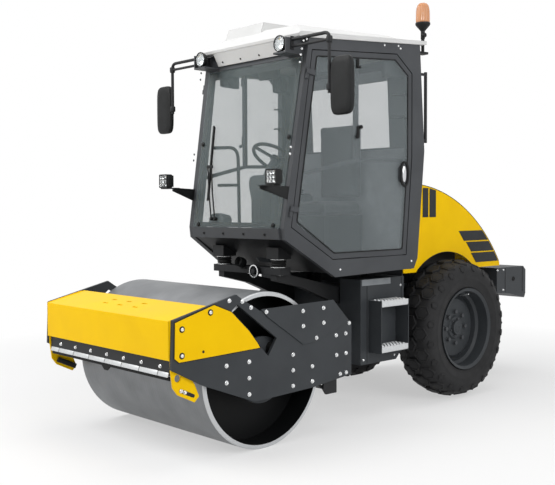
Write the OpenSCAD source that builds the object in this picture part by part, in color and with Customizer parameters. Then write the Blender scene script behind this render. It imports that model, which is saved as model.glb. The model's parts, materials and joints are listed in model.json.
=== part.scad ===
// Single drum roller with an articulated frame, a closed cab and two driven rear wheels.
// X points forward to the drum, Y to the machine's left, Z up from the ground.
// The origin lies on the ground, halfway between the front beam and the tail box.

/* [Machine] */
// Distance from the drum axle to the rear axle
wheelbase = 2140; // [2080:10:2300]
// Drum axle to the face of the front beam
front_over = 740; // [730:5:800]
// Rear axle to the end of the tail box
rear_over = 1220; // [1100:10:1400]
// Gap between each end of the drum and its side plate
drum_gap = 15; // [8:1:30]
// Distance from the drum axle back to the steering pivot
pivot_back = 1050; // [1030:5:1080]
// Height of the line about which the front frame tilts
tilt_z = 500; // [480:5:520]
// Running clearance at pivots and pins
pivot_gap = 0.3; // [0.1:0.1:0.5]
// Gap where one piece only rests on another
seat_gap = 0.3; // [0.1:0.1:0.5]

/* [Drum] */
// Diameter of the drum
drum_d = 982; // [960:2:990]
// Width of the drum
drum_w = 1370; // [1200:10:1370]
// Thickness of the drum's shell
drum_wall = 28; // [15:1:40]
// How far each drum head sits in from the drum's end
head_inset = 170; // [140:5:300]
// Thickness of a drum head
head_t = 20; // [10:1:40]
// Diameter of the stub shaft on each drum head
stub_d = 120; // [80:5:160]
// Length of the stub shaft on each drum head
stub_l = 95; // [60:5:100]

/* [Front frame] */
// Thickness of a side plate
plate_t = 20; // [12:1:20]
// Thickness of the dark cover plate bolted outside each side plate
cover_t = 8; // [4:1:8]
// Thickness of the yellow panel outside each side plate
panel_t = 4; // [2:1:6]
// Thickness of the folded sheet of the front beam
beam_t = 12; // [8:1:16]
// Length of the rear cross beam along the machine
rear_beam_l = 150; // [120:5:160]
// Diameter of the tilt bearing's housing
tilt_house_d = 260; // [220:5:300]
// Diameter of the tilt pin
tilt_pin_d = 130; // [100:5:160]
// Diameter of each rubber buffer between side plate and drum carrier
buffer_d = 80; // [50:5:100]

/* [Articulation] */
// Diameter of the steering pivot pins
pivot_d = 90; // [60:5:100]
// Height of the knuckle's hub between the fork's ears
knuckle_h = 260; // [200:10:300]
// Diameter of the knuckle's hub
knuckle_d = 200; // [160:5:220]
// Thickness of each ear of the fork
ear_t = 40; // [25:5:50]

/* [Steering cylinder] */
// Sideways distance of the cylinder from the steering pivot
cyl_side = 210; // [200:5:230]
// Outer diameter of the cylinder's barrel
barrel_d = 70; // [50:5:80]
// Diameter of the cylinder's rod
rod_d = 36; // [20:2:40]

/* [Wheels] */
// Diameter of a tyre over its tread
tyre_d = 1090; // [1060:5:1110]
// Width of a tyre
tyre_w = 330; // [280:5:340]
// Distance between the middles of the tyres
track = 1100; // [1090:5:1120]
// Diameter of the rim's seat for the tyre
rim_d = 620; // [560:5:640]
// Depth of the tread blocks
lug_h = 20; // [10:1:26]
// Diameter of the wheel's bolt circle
stud_circle = 250; // [220:5:280]

/* [Rear frame] */
// Distance from the middle plane to the outside of each frame plate
rail_y = 330; // [300:5:340]
// Thickness of the frame plates
rail_t = 16; // [10:1:20]
// Distance from the middle plane to the outside of a side box
box_y = 533; // [500:5:540]
// How far a step stands out from its side box
step_out = 120; // [80:5:122]
// Height of the upper step above the ground
step_top_z = 830; // [780:5:860]
// Height of the lower step above the ground
step_low_z = 500; // [440:5:540]

/* [Cab] */
// Half of the cab's width at its front pillar
cab_front_y = 540; // [520:5:560]
// Angle at which the cab's sides widen to the rear
cab_taper = 9.26; // [8:0.1:10]
// Thickness of the cab's side frames
side_t = 44; // [30:2:60]
// Thickness of the glass panes
glass_t = 6; // [4:1:8]
// Gap between a door and the frame around it
door_gap = 6; // [5:1:8]
// Width of a door's frame bars
door_bar = 38; // [25:1:60]
// Thickness of a door's frame
door_t = 34; // [24:1:38]
// Height of the roof's crown above its edge
roof_rise = 75; // [40:5:100]

/* [Hood] */
// Half of the hood's width
hood_y = 500; // [480:5:520]
// Thickness of the hood's wall
hood_t = 8; // [4:1:12]
// Gap between a tyre and the wheel arch
arch_gap = 55; // [40:5:90]

/* [Hidden] */
$fn = 96;
eps = 1;

yellow = "#F5C80A";
dark = "#44474A";
black = "#1E1F21";
steel = "#8A8C8E";
silver = "#C9CBCC";
white = "#E9EAE8";
tint = [0.35, 0.42, 0.42, 0.45];
rubber = "#232323";
amber = "#F08A1C";

drum_x = (wheelbase + rear_over - front_over) / 2;
axle_x = drum_x - wheelbase;
pivot_x = drum_x - pivot_back;
drum_z = drum_d / 2;
axle_z = tyre_d / 2;
plate_in = drum_w / 2 + drum_gap;
plate_y = plate_in + plate_t;

// Turns an X-Z profile into a slab between two Y planes.
module slab(profile, y0, y1) {
    translate([0, max(y0, y1), 0]) rotate([90, 0, 0])
        linear_extrude(height = abs(y1 - y0)) polygon(profile);
}

// Makes a piece and its mirror image on the other side of the machine.
module both() {
    children();
    mirror([0, 1, 0]) children();
}

// A bar with round section between two Y planes.
module cross_bar(x, z, d, y0, y1) {
    translate([x, y0, z]) rotate([-90, 0, 0]) cylinder(h = y1 - y0, d = d);
}

function unit(v) = v / norm(v);
function left_of(v) = [-v.y, v.x];
// Moves every side of an anticlockwise outline inwards by the same distance.
function inset(p, d) = [
    for (i = [0 : len(p) - 1])
        let (
            a = p[(i + len(p) - 1) % len(p)],
            b = p[i],
            c = p[(i + 1) % len(p)],
            n = left_of(unit(b - a)),
            m = left_of(unit(c - b))
        )
        b + d * (n + m) / (1 + n * m)
];

// Front frame. Profiles are measured from the drum axle, heights from the ground.
nose = front_over - 3;
side_profile = [
    [-765, 371], [-395, 332], [111, 315], [511, 470], [nose, 589],
    [nose - 11, 871], [255, 984], [204, 949], [63, 870], [-570, 880],
    [-730, 740], [-766, 707]
];
slot_profile = [[-73, 690], [0, 585], [300, 884], [250, 925]];
cover_profile = [
    [-580, 892], [-736, 737], [-416, 629], [-299, 625], [10, 829], [63, 881]
];
panel_profile = [
    [71, 645], [nose - 50, 628], [nose - 19, 653], [nose - 24, 856],
    [430, 936], [299, 884], [159, 756], [87, 670]
];

module in_front() {
    translate([drum_x, 0, 0]) children();
}

module side_plates() {
    color(dark) in_front() both() difference() {
        slab(side_profile, plate_in, plate_y);
        slab(slot_profile, plate_in - eps, plate_y + eps);
    }
}

module cover_plates() {
    color(dark) in_front() both()
        slab(cover_profile, plate_y, plate_y + cover_t);
}

module side_panels() {
    color(yellow) in_front() both()
        slab(panel_profile, plate_y, plate_y + panel_t);
}

beam_low = 640;
beam_edge = 865;
beam_back_x = 455;
beam_back_z = 930;
beam_web_x = 600;
beam_drop = 60;
beam_section = [
    [beam_web_x, beam_low], [front_over, beam_low], [front_over, beam_edge],
    [beam_back_x, beam_back_z], [beam_back_x, beam_back_z - beam_t],
    [beam_web_x, beam_back_z - beam_drop]
];
beam_hollow = [
    [beam_web_x + beam_t, beam_low + beam_t],
    [front_over - beam_t, beam_low + beam_t],
    [front_over - beam_t, beam_edge - beam_t],
    [beam_web_x + beam_t, beam_back_z - beam_drop - beam_t]
];
end_bracket = [
    [560, 378], [679, 436], [714, 482], [front_over - 12, 590],
    [front_over - 12, beam_edge - 8], [500, beam_back_z - 16], [500, 700],
    [600, 620], [590, 530], [559, 482], [528, 410]
];
bracket_t = 12;
tie_at = [681, 534];
tie_d = 44;

// Slots in the beam's top, at every pair of the sideways and lengthways places.
slot_rows = [[-170, 0, 170], [540, 610]];
slot_size = [14, 52, 100];

module front_beam() {
    color(yellow) in_front() {
        difference() {
            slab(beam_section, -plate_in, plate_in);
            slab(beam_hollow, -plate_in + bracket_t, plate_in - bracket_t);
            for (y = slot_rows[0], x = slot_rows[1])
                translate([x - slot_size.x / 2, y - slot_size.y / 2, beam_edge]) cube(slot_size);
        }
        both() difference() {
            slab(end_bracket, plate_in - bracket_t, plate_in);
            cross_bar(tie_at.x, tie_at.y, tie_d, plate_in - bracket_t - eps, plate_in + eps);
        }
    }
}

bar_t = 8;
bar_low = 560;
bar_front = front_over - 18;
bar_rear = bar_front - 54;
scraper_bar = [
    [bar_rear, bar_low], [bar_front, bar_low], [bar_front, beam_low - seat_gap],
    [bar_front - bar_t, beam_low - seat_gap], [bar_front - bar_t, bar_low + bar_t],
    [bar_rear, bar_low + bar_t]
];
front_blade = [
    [drum_d / 2 + 9, 520], [bar_rear, bar_low - bar_t], [bar_front, bar_low - bar_t],
    [bar_front, bar_low], [bar_rear, bar_low], [drum_d / 2 + 6, 527]
];
scraper_side = 4;
scraper_half = plate_in - bracket_t - scraper_side;

module front_scraper() {
    color(black) in_front() {
        slab(scraper_bar, -scraper_half, scraper_half);
        slab(front_blade, -scraper_half, scraper_half);
    }
}

rear_beam_x = -535;
rear_beam_end = rear_beam_x - rear_beam_l;
rear_beam_low = 400;
rear_beam_top = 700;
rear_bar = [
    [-560, 300], [-510, 300], [-470, 330], [-478, 340], [-516, 312],
    [-560, 312]
];
rear_foot = [[-640, 260], [-540, 260], [-512, 300], [-520, 362], [-640, 362]];

module rear_scraper() {
    color(black) in_front() {
        slab(rear_bar, -scraper_half, scraper_half);
        both() slab(rear_foot, scraper_half, plate_in);
    }
}

tilt_front = rear_beam_end - 120;
tilt_wall = 30;

module rear_beam() {
    color(dark) in_front() difference() {
        union() {
            slab([
                [rear_beam_end, rear_beam_low], [rear_beam_x, rear_beam_low],
                [rear_beam_x, rear_beam_top], [rear_beam_end, rear_beam_top]
            ], -plate_in, plate_in);
            translate([tilt_front, 0, tilt_z]) rotate([0, 90, 0])
                cylinder(h = rear_beam_x - tilt_front, d = tilt_house_d);
        }
        translate([tilt_front - eps, 0, tilt_z]) rotate([0, 90, 0])
            cylinder(h = rear_beam_x - tilt_front - tilt_wall, d = tilt_pin_d + 2 * pivot_gap);
    }
}

// Drum carriers reach into the drum's open ends and hold its stub shafts.
carrier_in = drum_w / 2 - head_inset + 25;
carrier_out = plate_in - 42;
carrier_t = 22;
stub_reach = 30;
carrier_d = 420;
carrier_hub_d = 210;
buffer_circle = 300;
buffer_count = 6;

module drum_carriers() {
    color(dark) in_front() both() difference() {
        union() {
            cross_bar(0, drum_z, carrier_hub_d, carrier_in, carrier_out);
            cross_bar(0, drum_z, carrier_d, carrier_out - carrier_t, carrier_out);
        }
        cross_bar(0, drum_z, stub_d + 2 * pivot_gap, carrier_in - eps,
                  carrier_out - stub_reach);
    }
}

module drum_buffers() {
    color(rubber) in_front() both() translate([0, 0, drum_z])
        for (i = [0 : buffer_count - 1]) rotate([0, i * 360 / buffer_count, 0])
            cross_bar(buffer_circle / 2, 0, buffer_d, carrier_out, plate_in);
}

edge_cut = 6;

module drum_shell() {
    out = drum_d / 2;
    end = drum_w / 2;
    color(steel) in_front() translate([0, 0, drum_z]) rotate([90, 0, 0])
        rotate_extrude($fn = 2 * $fn) polygon([
            [out - drum_wall, -end], [out - edge_cut, -end], [out, -end + edge_cut],
            [out, end - edge_cut], [out - edge_cut, end], [out - drum_wall, end]
        ]);
}

head_y = drum_w / 2 - head_inset;
stub_collar_d = stub_d + 60;
core_d = 260;

module drum_heads() {
    color(steel) in_front() {
        both() {
            cross_bar(0, drum_z, drum_d - 2 * (drum_wall + seat_gap), head_y - head_t,
                      head_y);
            cross_bar(0, drum_z, stub_d, head_y, head_y + stub_l);
            cross_bar(0, drum_z, stub_collar_d, head_y, head_y + head_t);
        }
        cross_bar(0, drum_z, core_d, -head_y, head_y);
    }
}

// Articulation. The knuckle turns in the rear frame's fork, the front frame tilts on it.
fork_low = tilt_z - knuckle_h / 2;
fork_top = tilt_z + knuckle_h / 2;
hub_gap = 2;
tilt_end_gap = 15;
collar_gap = 6;
collar_d = tilt_house_d - 40;
arm_x = 100;
arm_w = 80;
arm_t = 30;
eye_d = 60;
eye_h = 44;
arm_top = tilt_z - eye_h / 2 - 8;
pin_d = 30;
lug_gap = barrel_d / 2 + 3;

module knuckle() {
    color(dark) translate([pivot_x, 0, 0]) difference() {
        union() {
            translate([0, 0, fork_low + hub_gap])
                cylinder(h = knuckle_h - 2 * hub_gap, d = knuckle_d);
            translate([0, 0, fork_low - ear_t])
                cylinder(h = knuckle_h + 2 * ear_t, d = pivot_d);
            translate([0, 0, tilt_z]) rotate([0, 90, 0])
                cylinder(h = pivot_back + rear_beam_x - tilt_wall - tilt_end_gap, d = tilt_pin_d);
            translate([0, 0, tilt_z]) rotate([0, 90, 0])
                cylinder(h = pivot_back + tilt_front - collar_gap, d = collar_d);
            translate([arm_x - arm_w / 2, 0, arm_top - arm_t])
                cube([arm_w, cyl_side + arm_w / 2, arm_t]);
        }
        translate([arm_x, cyl_side, arm_top - arm_t - eps])
            cylinder(h = arm_t + 2 * eps, d = pin_d);
    }
}

// Steering cylinder, from a lug on the rear frame to the knuckle's arm.
barrel_back = 520;
barrel_l = 340;
bore_start = 40;
cyl_x = pivot_x - barrel_back;
rod_l = 410;
eye_play = 6;
rod_seat = 20;

module steer_barrel() {
    color(black) translate([cyl_x, cyl_side, tilt_z]) difference() {
        union() {
            translate([0, 0, eye_play - lug_gap]) cylinder(h = 2 * (lug_gap - eye_play), d = eye_d);
            rotate([0, 90, 0]) cylinder(h = barrel_l, d = barrel_d);
        }
        translate([0, 0, -barrel_d]) cylinder(h = 2 * barrel_d, d = pin_d + 2 * pivot_gap);
        translate([bore_start, 0, 0]) rotate([0, 90, 0])
            cylinder(h = barrel_l, d = rod_d + 2 * pivot_gap);
    }
}

module steer_rod() {
    color(silver) translate([pivot_x + arm_x, cyl_side, tilt_z]) difference() {
        union() {
            translate([-rod_seat - rod_l, 0, 0]) rotate([0, 90, 0])
                cylinder(h = rod_l, d = rod_d);
            translate([0, 0, -eye_h / 2]) cylinder(h = eye_h, d = eye_d);
        }
        translate([0, 0, -eye_h]) cylinder(h = 2 * eye_h, d = pin_d + 2);
    }
}

// Rear frame. Its front end stands behind the steering pivot, its rear end behind the axle.
rail_x = pivot_x - 120;
rail_end = axle_x - 760;
rail_top = 900;
rail_rear_z = 740;
rail_profile = [
    [rail_x, 380], [rail_x, rail_top], [axle_x + 240, rail_top],
    [rail_end, rail_top + 60], [rail_end, rail_rear_z], [axle_x - 360, 640],
    [axle_x + 440, 420]
];
bulkhead_t = 20;
// Opening in the bulkhead through which the steering cylinder passes.
cyl_port = [160, 140];
axle_d = 170;
lug_t = 25;
lug_w = 90;
lug_l = 100;

module rear_frame() {
    color(dark) difference() {
        union() {
            both() slab(rail_profile, rail_y - rail_t, rail_y);
            difference() {
                translate([rail_x - bulkhead_t, -rail_y, fork_low - ear_t])
                    cube([bulkhead_t, 2 * rail_y, rail_top - fork_low + ear_t]);
                translate([
                    rail_x - bulkhead_t - eps, cyl_side - cyl_port.x / 2, tilt_z - cyl_port.y / 2
                ]) cube([bulkhead_t + 2 * eps, cyl_port.x, cyl_port.y]);
            }
            translate([rail_end, -rail_y, rail_rear_z])
                cube([bulkhead_t, 2 * rail_y, rail_top + 60 - rail_rear_z]);
            translate([hood_front - wall_t, -wall_half, rail_top - wall_t])
                cube([wall_t, 2 * wall_half, wall_top - rail_top + wall_t]);
            cross_bar(hinge_at.x, hinge_at.y, hinge_d, -hinge_end, hinge_end);
            both() slab([
                [hood_front - wall_t / 2, wall_top - 40], [hood_front - wall_t / 2, wall_top],
                [hinge_at.x + 12, hinge_at.y + 10], [hinge_at.x - 14, hinge_at.y + 10],
                [hinge_at.x - 14, hinge_at.y - 12]
            ], hinge_end - wall_t, hinge_end);
            for (z = [fork_low - ear_t, fork_top]) translate([0, 0, z]) {
                translate([pivot_x, 0, 0]) cylinder(h = ear_t, d = knuckle_d);
                translate([rail_x - bulkhead_t, -knuckle_d / 2, 0])
                    cube([pivot_x - rail_x + bulkhead_t, knuckle_d, ear_t]);
            }
            for (z = [tilt_z - lug_gap - lug_t, tilt_z + lug_gap])
                translate([cyl_x - lug_l / 2, cyl_side - lug_w / 2, z])
                    cube([lug_l, rail_y - cyl_side + lug_w / 2, lug_t]);
            translate([cyl_x, cyl_side, tilt_z - lug_gap - eps])
                cylinder(h = 2 * (lug_gap + eps), d = pin_d);
        }
        translate([pivot_x, 0, 0]) cylinder(h = rail_top, d = pivot_d + 2 * pivot_gap);
        cross_bar(axle_x, axle_z, axle_d + 2 * seat_gap, -rail_y - eps, rail_y + eps);
    }
}

// Side boxes fill the room between the steering pivot and the tyres.
box_front = pivot_x - 20;
box_rear = axle_x + tyre_d / 2 + 35;
box_low = 365;
box_top = 985;
box_cut = 90;
box_profile = [
    [box_rear, box_low + box_cut], [box_rear + box_cut, box_low],
    [box_front, box_low], [box_front, box_top], [box_rear, box_top]
];

module side_boxes() {
    color(dark) both() slab(box_profile, rail_y + seat_gap, box_y);
}

step_margin = 0.18 * (box_front - box_rear);
step_x0 = box_rear + step_margin;
step_x1 = box_front - step_margin;
step_l = step_x1 - step_x0;
step_side = 8;
step_foot = 50;
tread_t = 36;

module step_brackets() {
    color(dark) both() for (x = [step_x0, step_x1 - step_side])
        translate([x, box_y, step_low_z - step_foot])
            cube([step_side, step_out, step_top_z - step_low_z + step_foot]);
}

module step_treads() {
    color(silver) both() for (z = [step_low_z, step_top_z])
        translate([step_x0 + step_side, box_y + seat_gap, z - tread_t])
            cube([step_l - 2 * step_side, step_out - seat_gap, tread_t]);
}

tyre_in = track / 2 - tyre_w / 2;
hub_d = 230;
hub_sink = 20;
disc_y = 10;
axle_flange = 30;
differential_d = 330;
axle_foot = [160, 60, 100];

module axle() {
    color(dark) translate([axle_x, 0, axle_z]) {
        cross_bar(0, 0, axle_d, -tyre_in - axle_flange, tyre_in + axle_flange);
        both() cross_bar(0, 0, hub_d, tyre_in - hub_sink, track / 2 + disc_y - seat_gap);
        sphere(d = differential_d);
        both() translate([-axle_foot.x / 2, rail_y - rail_t - axle_foot.y, axle_foot.y])
            cube(axle_foot - [0, seat_gap, 0]);
    }
}

engine_rear = axle_x - 440;
engine_front = pivot_x - 910;
engine_y = 270;
engine_low = axle_z + 175;
engine_high = 1240;
// Engine feet: places along the engine, as shares of its length, and their size.
engine_feet = [0.06, 0.78];
engine_foot = [0.16, 60];

module engine() {
    length = engine_front - engine_rear;
    color(black) {
        translate([engine_rear, -engine_y, engine_low])
            cube([length, 2 * engine_y, engine_high - engine_low]);
        both() for (x = engine_feet)
            translate([engine_rear + x * length, engine_y - eps, engine_low + 20])
                cube([
                    engine_foot[0] * length, rail_y - rail_t - engine_y + eps - seat_gap,
                    engine_foot[1]
                ]);
    }
}

tail_y = 480;
tail_x = axle_x - rear_over;
tail_in = rail_end - seat_gap;
tail_profile = [
    [tail_x + 20, 690], [tail_x + 250, 740], [tail_in, 760],
    [tail_in, 975], [tail_x + 40, 975], [tail_x, 940], [tail_x, 730]
];

module tail_box() {
    color(dark) slab(tail_profile, -tail_y, tail_y);
}

stop_d = 24;
stop_y = 250;
stop_low = rail_top + 60;

module hood_stops() {
    color(rubber) both() translate([rail_end + stop_d / 2, stop_y, stop_low])
        cylinder(h = hood_low - stop_low - seat_gap, d = stop_d);
}

// Cab. Side outlines are measured back along the side wall and up from the ground.
cab_ahead = 550;
cab_x = pivot_x + cab_ahead;
skirt_z = 1290;
screen_low = 1366;
screen_high = 2520;
waist_z = 1918;
eave_front = 2640;
eave_back = 2690;
side_rear = [1086, 1040];
side_outer = [
    [-160, skirt_z], [259, 1024], [985, 1056], [1020, 1130], [side_rear[0], waist_z],
    [side_rear[1], eave_back], [40, eave_front], [-170, screen_low]
];
door_open = [
    [-112, 1372], [238, 1144], [912, 1156], [966, 1870], [966, 2476],
    [818, 2606], [64, 2566]
];
door_outer = inset(door_open, door_gap);
door_inner = inset(door_outer, door_bar);
door_depth = 2;
cab_half = 700;

// The left side wall's own axes: X forward along the wall, Y out of it, Z up.
module on_wall() {
    translate([cab_x, cab_front_y, 0]) rotate([0, 0, -cab_taper]) children();
}

// Places an outline in the left side wall, at a depth below the wall's outer face.
module on_side(points, depth, thick) {
    on_wall() translate([0, -depth, 0]) rotate([90, 0, 0])
        linear_extrude(height = thick) polygon([for (p = points) [-p.x, p.y]]);
}

// Door hinges stand just ahead of the door, on a line that leans back with its front edge.
door_hinge_z = [1480, 2400];
door_axis_ahead = 20;
door_axis_out = 12;
door_pin_d = 10;
pin_l = 70;
strap_h = 34;
strap_d = 20;
strap_l = 58;
door_lean = atan((door_open[6].x - door_open[0].x) / (door_open[6].y - door_open[0].y));

module on_door_axis(z) {
    foot = door_open[0];
    on_wall() translate([
        door_axis_ahead - foot.x - (z - foot.y) * tan(door_lean), door_axis_out, z
    ]) rotate([0, -door_lean, 0]) children();
}

module door_pins() {
    for (z = door_hinge_z) on_door_axis(z) {
        translate([0, 0, -pin_l / 2]) cylinder(h = pin_l, d = door_pin_d);
        translate([-8, -door_axis_out - 1, -pin_l / 2])
            cube([strap_d, door_axis_out + 9, strap_h - 2]);
    }
}

module door_straps() {
    for (z = door_hinge_z) on_door_axis(z) difference() {
        union() {
            cylinder(h = strap_h, d = strap_d);
            translate([-strap_l, -8, 0]) cube([strap_l, 9, strap_h]);
            translate([-strap_l, -door_axis_out - door_depth - 1, 0]) cube([26, 10, strap_h]);
        }
        translate([0, 0, -eps]) cylinder(h = pin_l, d = door_pin_d + 2 * pivot_gap);
    }
}

handle_at = [871, 1745];
handle_d = 84;
handle_half = 25;
handle_t = 20;

module door_handle() {
    on_wall() translate([-handle_at.x, -door_depth + seat_gap, handle_at.y]) {
        for (z = [-handle_half, handle_half]) translate([0, 0, z]) rotate([-90, 0, 0])
            cylinder(h = handle_t, d = handle_d);
        translate([-handle_d / 2, 0, -handle_half]) cube([handle_d, handle_t, 2 * handle_half]);
        translate([-62, 0, -20]) cube([30, 11, 40]);
        translate([-62, -3, -20]) cube([12, 14, 40]);
    }
}

function wall_y(x) = cab_front_y + (cab_x - x) * tan(cab_taper);
function wall_in(x) = wall_y(x) - side_t / cos(cab_taper) - seat_gap;

// Cuts its children to the room between the two side walls: front, back, foot and height.
cab_room = [300, -1200, 900, 2000];

module between_walls() {
    front = cab_x + cab_room[0];
    back = cab_x + cab_room[1];
    intersection() {
        children();
        translate([0, 0, cab_room[2]]) linear_extrude(height = cab_room[3]) polygon([
            [front, wall_in(front)], [back, wall_in(back)],
            [back, -wall_in(back)], [front, -wall_in(front)]
        ]);
    }
}

// Turns a profile measured forward from the cab's reference line into a slab.
module cab_slab(profile, half) {
    translate([cab_x, 0, 0]) slab(profile, -half, half);
}

module cab_sides() {
    color(dark) both() {
        difference() {
            on_side(side_outer, 0, side_t);
            on_side(door_open, -eps, side_t + 2 * eps);
        }
        door_pins();
    }
}

post_s = 440;
post_w = 30;
belt_w = 26;
belt = [[-55, 1737], [453, 1844], [945, 1861]];

module door_frame() {
    behind_glass = door_depth + glass_t + seat_gap;
    difference() {
        on_side(door_outer, door_depth, door_t);
        on_side(door_inner, door_depth - eps, door_t + 2 * eps);
    }
    on_side([
        [post_s, belt[1].y], [post_s + post_w, belt[1].y], [post_s + post_w, door_open[6].y],
        [post_s, door_open[6].y]
    ], behind_glass, door_t - glass_t - seat_gap);
    on_side([for (p = belt) p, for (i = [2 : -1 : 0]) belt[i] - [0, belt_w]],
            behind_glass, door_t - glass_t - seat_gap);
    door_straps();
    door_handle();
}

module door_left() { color(dark) door_frame(); }
module door_right() { color(dark) mirror([0, 1, 0]) door_frame(); }

module door_pane() {
    on_side(inset(door_inner, seat_gap), door_depth, glass_t);
}

module door_glass_left() { color(tint) door_pane(); }
module door_glass_right() { color(tint) mirror([0, 1, 0]) door_pane(); }

floor_low = 1048;
floor_top = 1108;
back_t = 30;
// The back wall's outer line: foot, belt and top, forward of the cab's reference line.
back_line = [[-994, floor_top], [-1060, waist_z], [-1018, eave_back]];
window_y = 420;
window_low = 1960;
window_high = 2540;
window_seat = 8;
foot_pad = 60;

function back_x(z) = z < back_line[1].y
    ? lookup(z, [for (p = [back_line[0], back_line[1]]) [p.y, p.x]])
    : lookup(z, [for (p = [back_line[1], back_line[2]]) [p.y, p.x]]);

module cab_floor() {
    color(dark) between_walls() {
        cab_slab([
            [skirt_x - seat_gap, skirt_z + 6], [-254, floor_low], [back_line[0].x, floor_low],
            [back_line[0].x, floor_top], [-262, floor_top],
            [skirt_x - seat_gap, screen_low]
        ], cab_half);
        both() translate([mount_x - foot_pad, mount_y - foot_pad, mount_top + seat_gap])
            cube([2 * foot_pad, 2 * foot_pad, 80]);
    }
}

module cab_back() {
    top = back_line[2].y - seat_gap;
    color(dark) between_walls() difference() {
        cab_slab([
            [back_line[0].x, floor_top + seat_gap], [back_line[0].x + back_t, floor_top + seat_gap],
            back_line[1] + [back_t, 0], [back_line[2].x + back_t, top - 2],
            [back_line[2].x, top], back_line[1]
        ], cab_half);
        cab_slab([
            [back_line[2].x - 100, window_low], [back_line[2].x + 100, window_low],
            [back_line[2].x + 100, window_high], [back_line[2].x - 100, window_high]
        ], window_y);
    }
}

module back_glass() {
    low = window_low + seat_gap;
    high = window_high - seat_gap;
    color(tint) cab_slab([
        [back_x(low) + window_seat, low], [back_x(low) + window_seat + glass_t, low],
        [back_x(high) + window_seat + glass_t, high], [back_x(high) + window_seat, high]
    ], window_y - seat_gap);
}

skirt_x = 150;
header_x = -34;
screen_x = [168, -17];
// Plates that carry the head lamps: start, foot height, sides, length, height and thickness.
lamp_plate_x = -22;
lamp_plate_z = 2530;
lamp_plate_y = [370, 495];
lamp_plate_l = 148;
lamp_plate_h = 102;
lamp_plate_t = 10;

module cab_front() {
    color(dark) {
        between_walls() {
            cab_slab([
                [skirt_x, skirt_z], [skirt_x + 18, skirt_z], [skirt_x + 30, screen_low],
                [skirt_x, screen_low]
            ], cab_half);
            cab_slab([
                [header_x, screen_high], [header_x + 20, screen_high], [header_x, eave_front],
                [header_x - 36, eave_front]
            ], cab_half);
        }
        both() {
            translate([cab_x + lamp_plate_x, lamp_plate_y[0], lamp_plate_z])
                cube([
                    lamp_plate_l, lamp_plate_y[1] - lamp_plate_y[0],
                    lamp_z - head_lamp_d / 2 - seat_gap - lamp_plate_z
                ]);
            translate([cab_x + lamp_plate_x, lamp_plate_y[1] - lamp_plate_t, lamp_plate_z])
                cube([lamp_plate_l, lamp_plate_t, lamp_plate_h]);
        }
    }
}

module windscreen() {
    low = screen_low + seat_gap;
    high = screen_high - seat_gap;
    color(tint) between_walls() cab_slab([
        [screen_x[0] - glass_t - 1, low], [screen_x[0], low], [screen_x[1], high],
        [screen_x[1] - glass_t - 1, high]
    ], cab_half);
}

roof_edge = 12;
roof_lean = 2.9;
roof_front = 50;
roof_back = -1076;
roof_flat_y = 390;
roof_band = 36;
roof_peak = 22;
roof_room = 900;

// Seen from above the roof widens to the rear, in cross-section its middle stands higher.
module cab_roof() {
    side_front = wall_y(cab_x + roof_front) + roof_edge;
    side_back = wall_y(cab_x + roof_back) + roof_edge;
    color(white) intersection() {
        cab_slab([
            [roof_front, eave_front], [roof_front + 6, eave_front + 20],
            [-120, eave_front + roof_rise + 62], [roof_back + 60, eave_back + roof_rise + 58],
            [roof_back, eave_back + roof_rise + 20], [roof_back - 6, eave_back + 6],
            [roof_back + 36, eave_back + seat_gap + 1], [header_x + 4, eave_front + seat_gap],
            [header_x + 24, eave_front - 4]
        ], roof_room);
        translate([0, 0, eave_front - roof_room]) linear_extrude(height = 2 * roof_room)
            polygon([
                [cab_x + roof_front + 10, side_front], [cab_x + roof_back - 10, side_back],
                [cab_x + roof_back - 10, -side_back], [cab_x + roof_front + 10, -side_front]
            ]);
        translate([cab_x - roof_room / 2, 0, eave_front + roof_room / 2 * sin(roof_lean)])
            rotate([0, roof_lean, 0]) rotate([90, 0, -90])
                linear_extrude(height = 2 * roof_room, center = true) polygon([
                    [-roof_room, -100], [roof_room, -100], [roof_room, roof_band - 30],
                    [side_back, roof_band - 10], [side_front, roof_band],
                    [roof_flat_y, roof_band + roof_rise], [0, roof_band + roof_rise + roof_peak],
                    [-roof_flat_y, roof_band + roof_rise], [-side_front, roof_band],
                    [-side_back, roof_band - 10], [-roof_room, roof_band - 30]
                ]);
    }
}

grab_s = 1116;
grab_d = 24;
grab_low = 1980;
grab_high = 2500;
grab_arm = 18;

module grab_tubes() {
    color(black) both() {
        on_wall() translate([-grab_s, -side_t / 2, grab_low])
            cylinder(h = grab_high - grab_low, d = grab_d);
        for (z = [grab_low + grab_arm, grab_high - grab_arm]) {
            edge = lookup(z, [[waist_z, side_rear[0]], [eave_back, side_rear[1]]]) + 1;
            on_side([
                [edge, z - grab_arm / 2], [grab_s, z - grab_arm / 2],
                [grab_s, z + grab_arm / 2], [edge, z + grab_arm / 2]
            ], (side_t - grab_arm) / 2, grab_arm);
        }
    }
}

mount_x = cab_x + 10;
mount_y = 294;
mount_d = 110;
mount_low = 1090;
mount_top = 1150;
foot_x = pivot_x - 380;
foot_z = 960;
foot_d = 60;
cross_arm = [100, 720, 50];
arm_plate_t = 60;

module cab_arms() {
    color(black) {
        translate([mount_x, 0, mount_low] - [cross_arm.x / 2, cross_arm.y / 2, cross_arm.z])
            cube(cross_arm);
        both() {
            slab([
                [rail_x + seat_gap, 780], [rail_x + seat_gap, rail_top - 1],
                [pivot_x + 490, mount_low - cross_arm.z],
                [pivot_x + 600, mount_low - cross_arm.z],
                [pivot_x + 600, 1000], [pivot_x + 350, 940], [pivot_x + 50, 820]
            ], rail_y - rail_t - arm_plate_t, rail_y - rail_t - seat_gap);
            translate([foot_x - 40, rail_y - rail_t - foot_d - 4, foot_z - 110])
                cube([80, foot_d + 4 - seat_gap, 110]);
        }
    }
}

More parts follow.
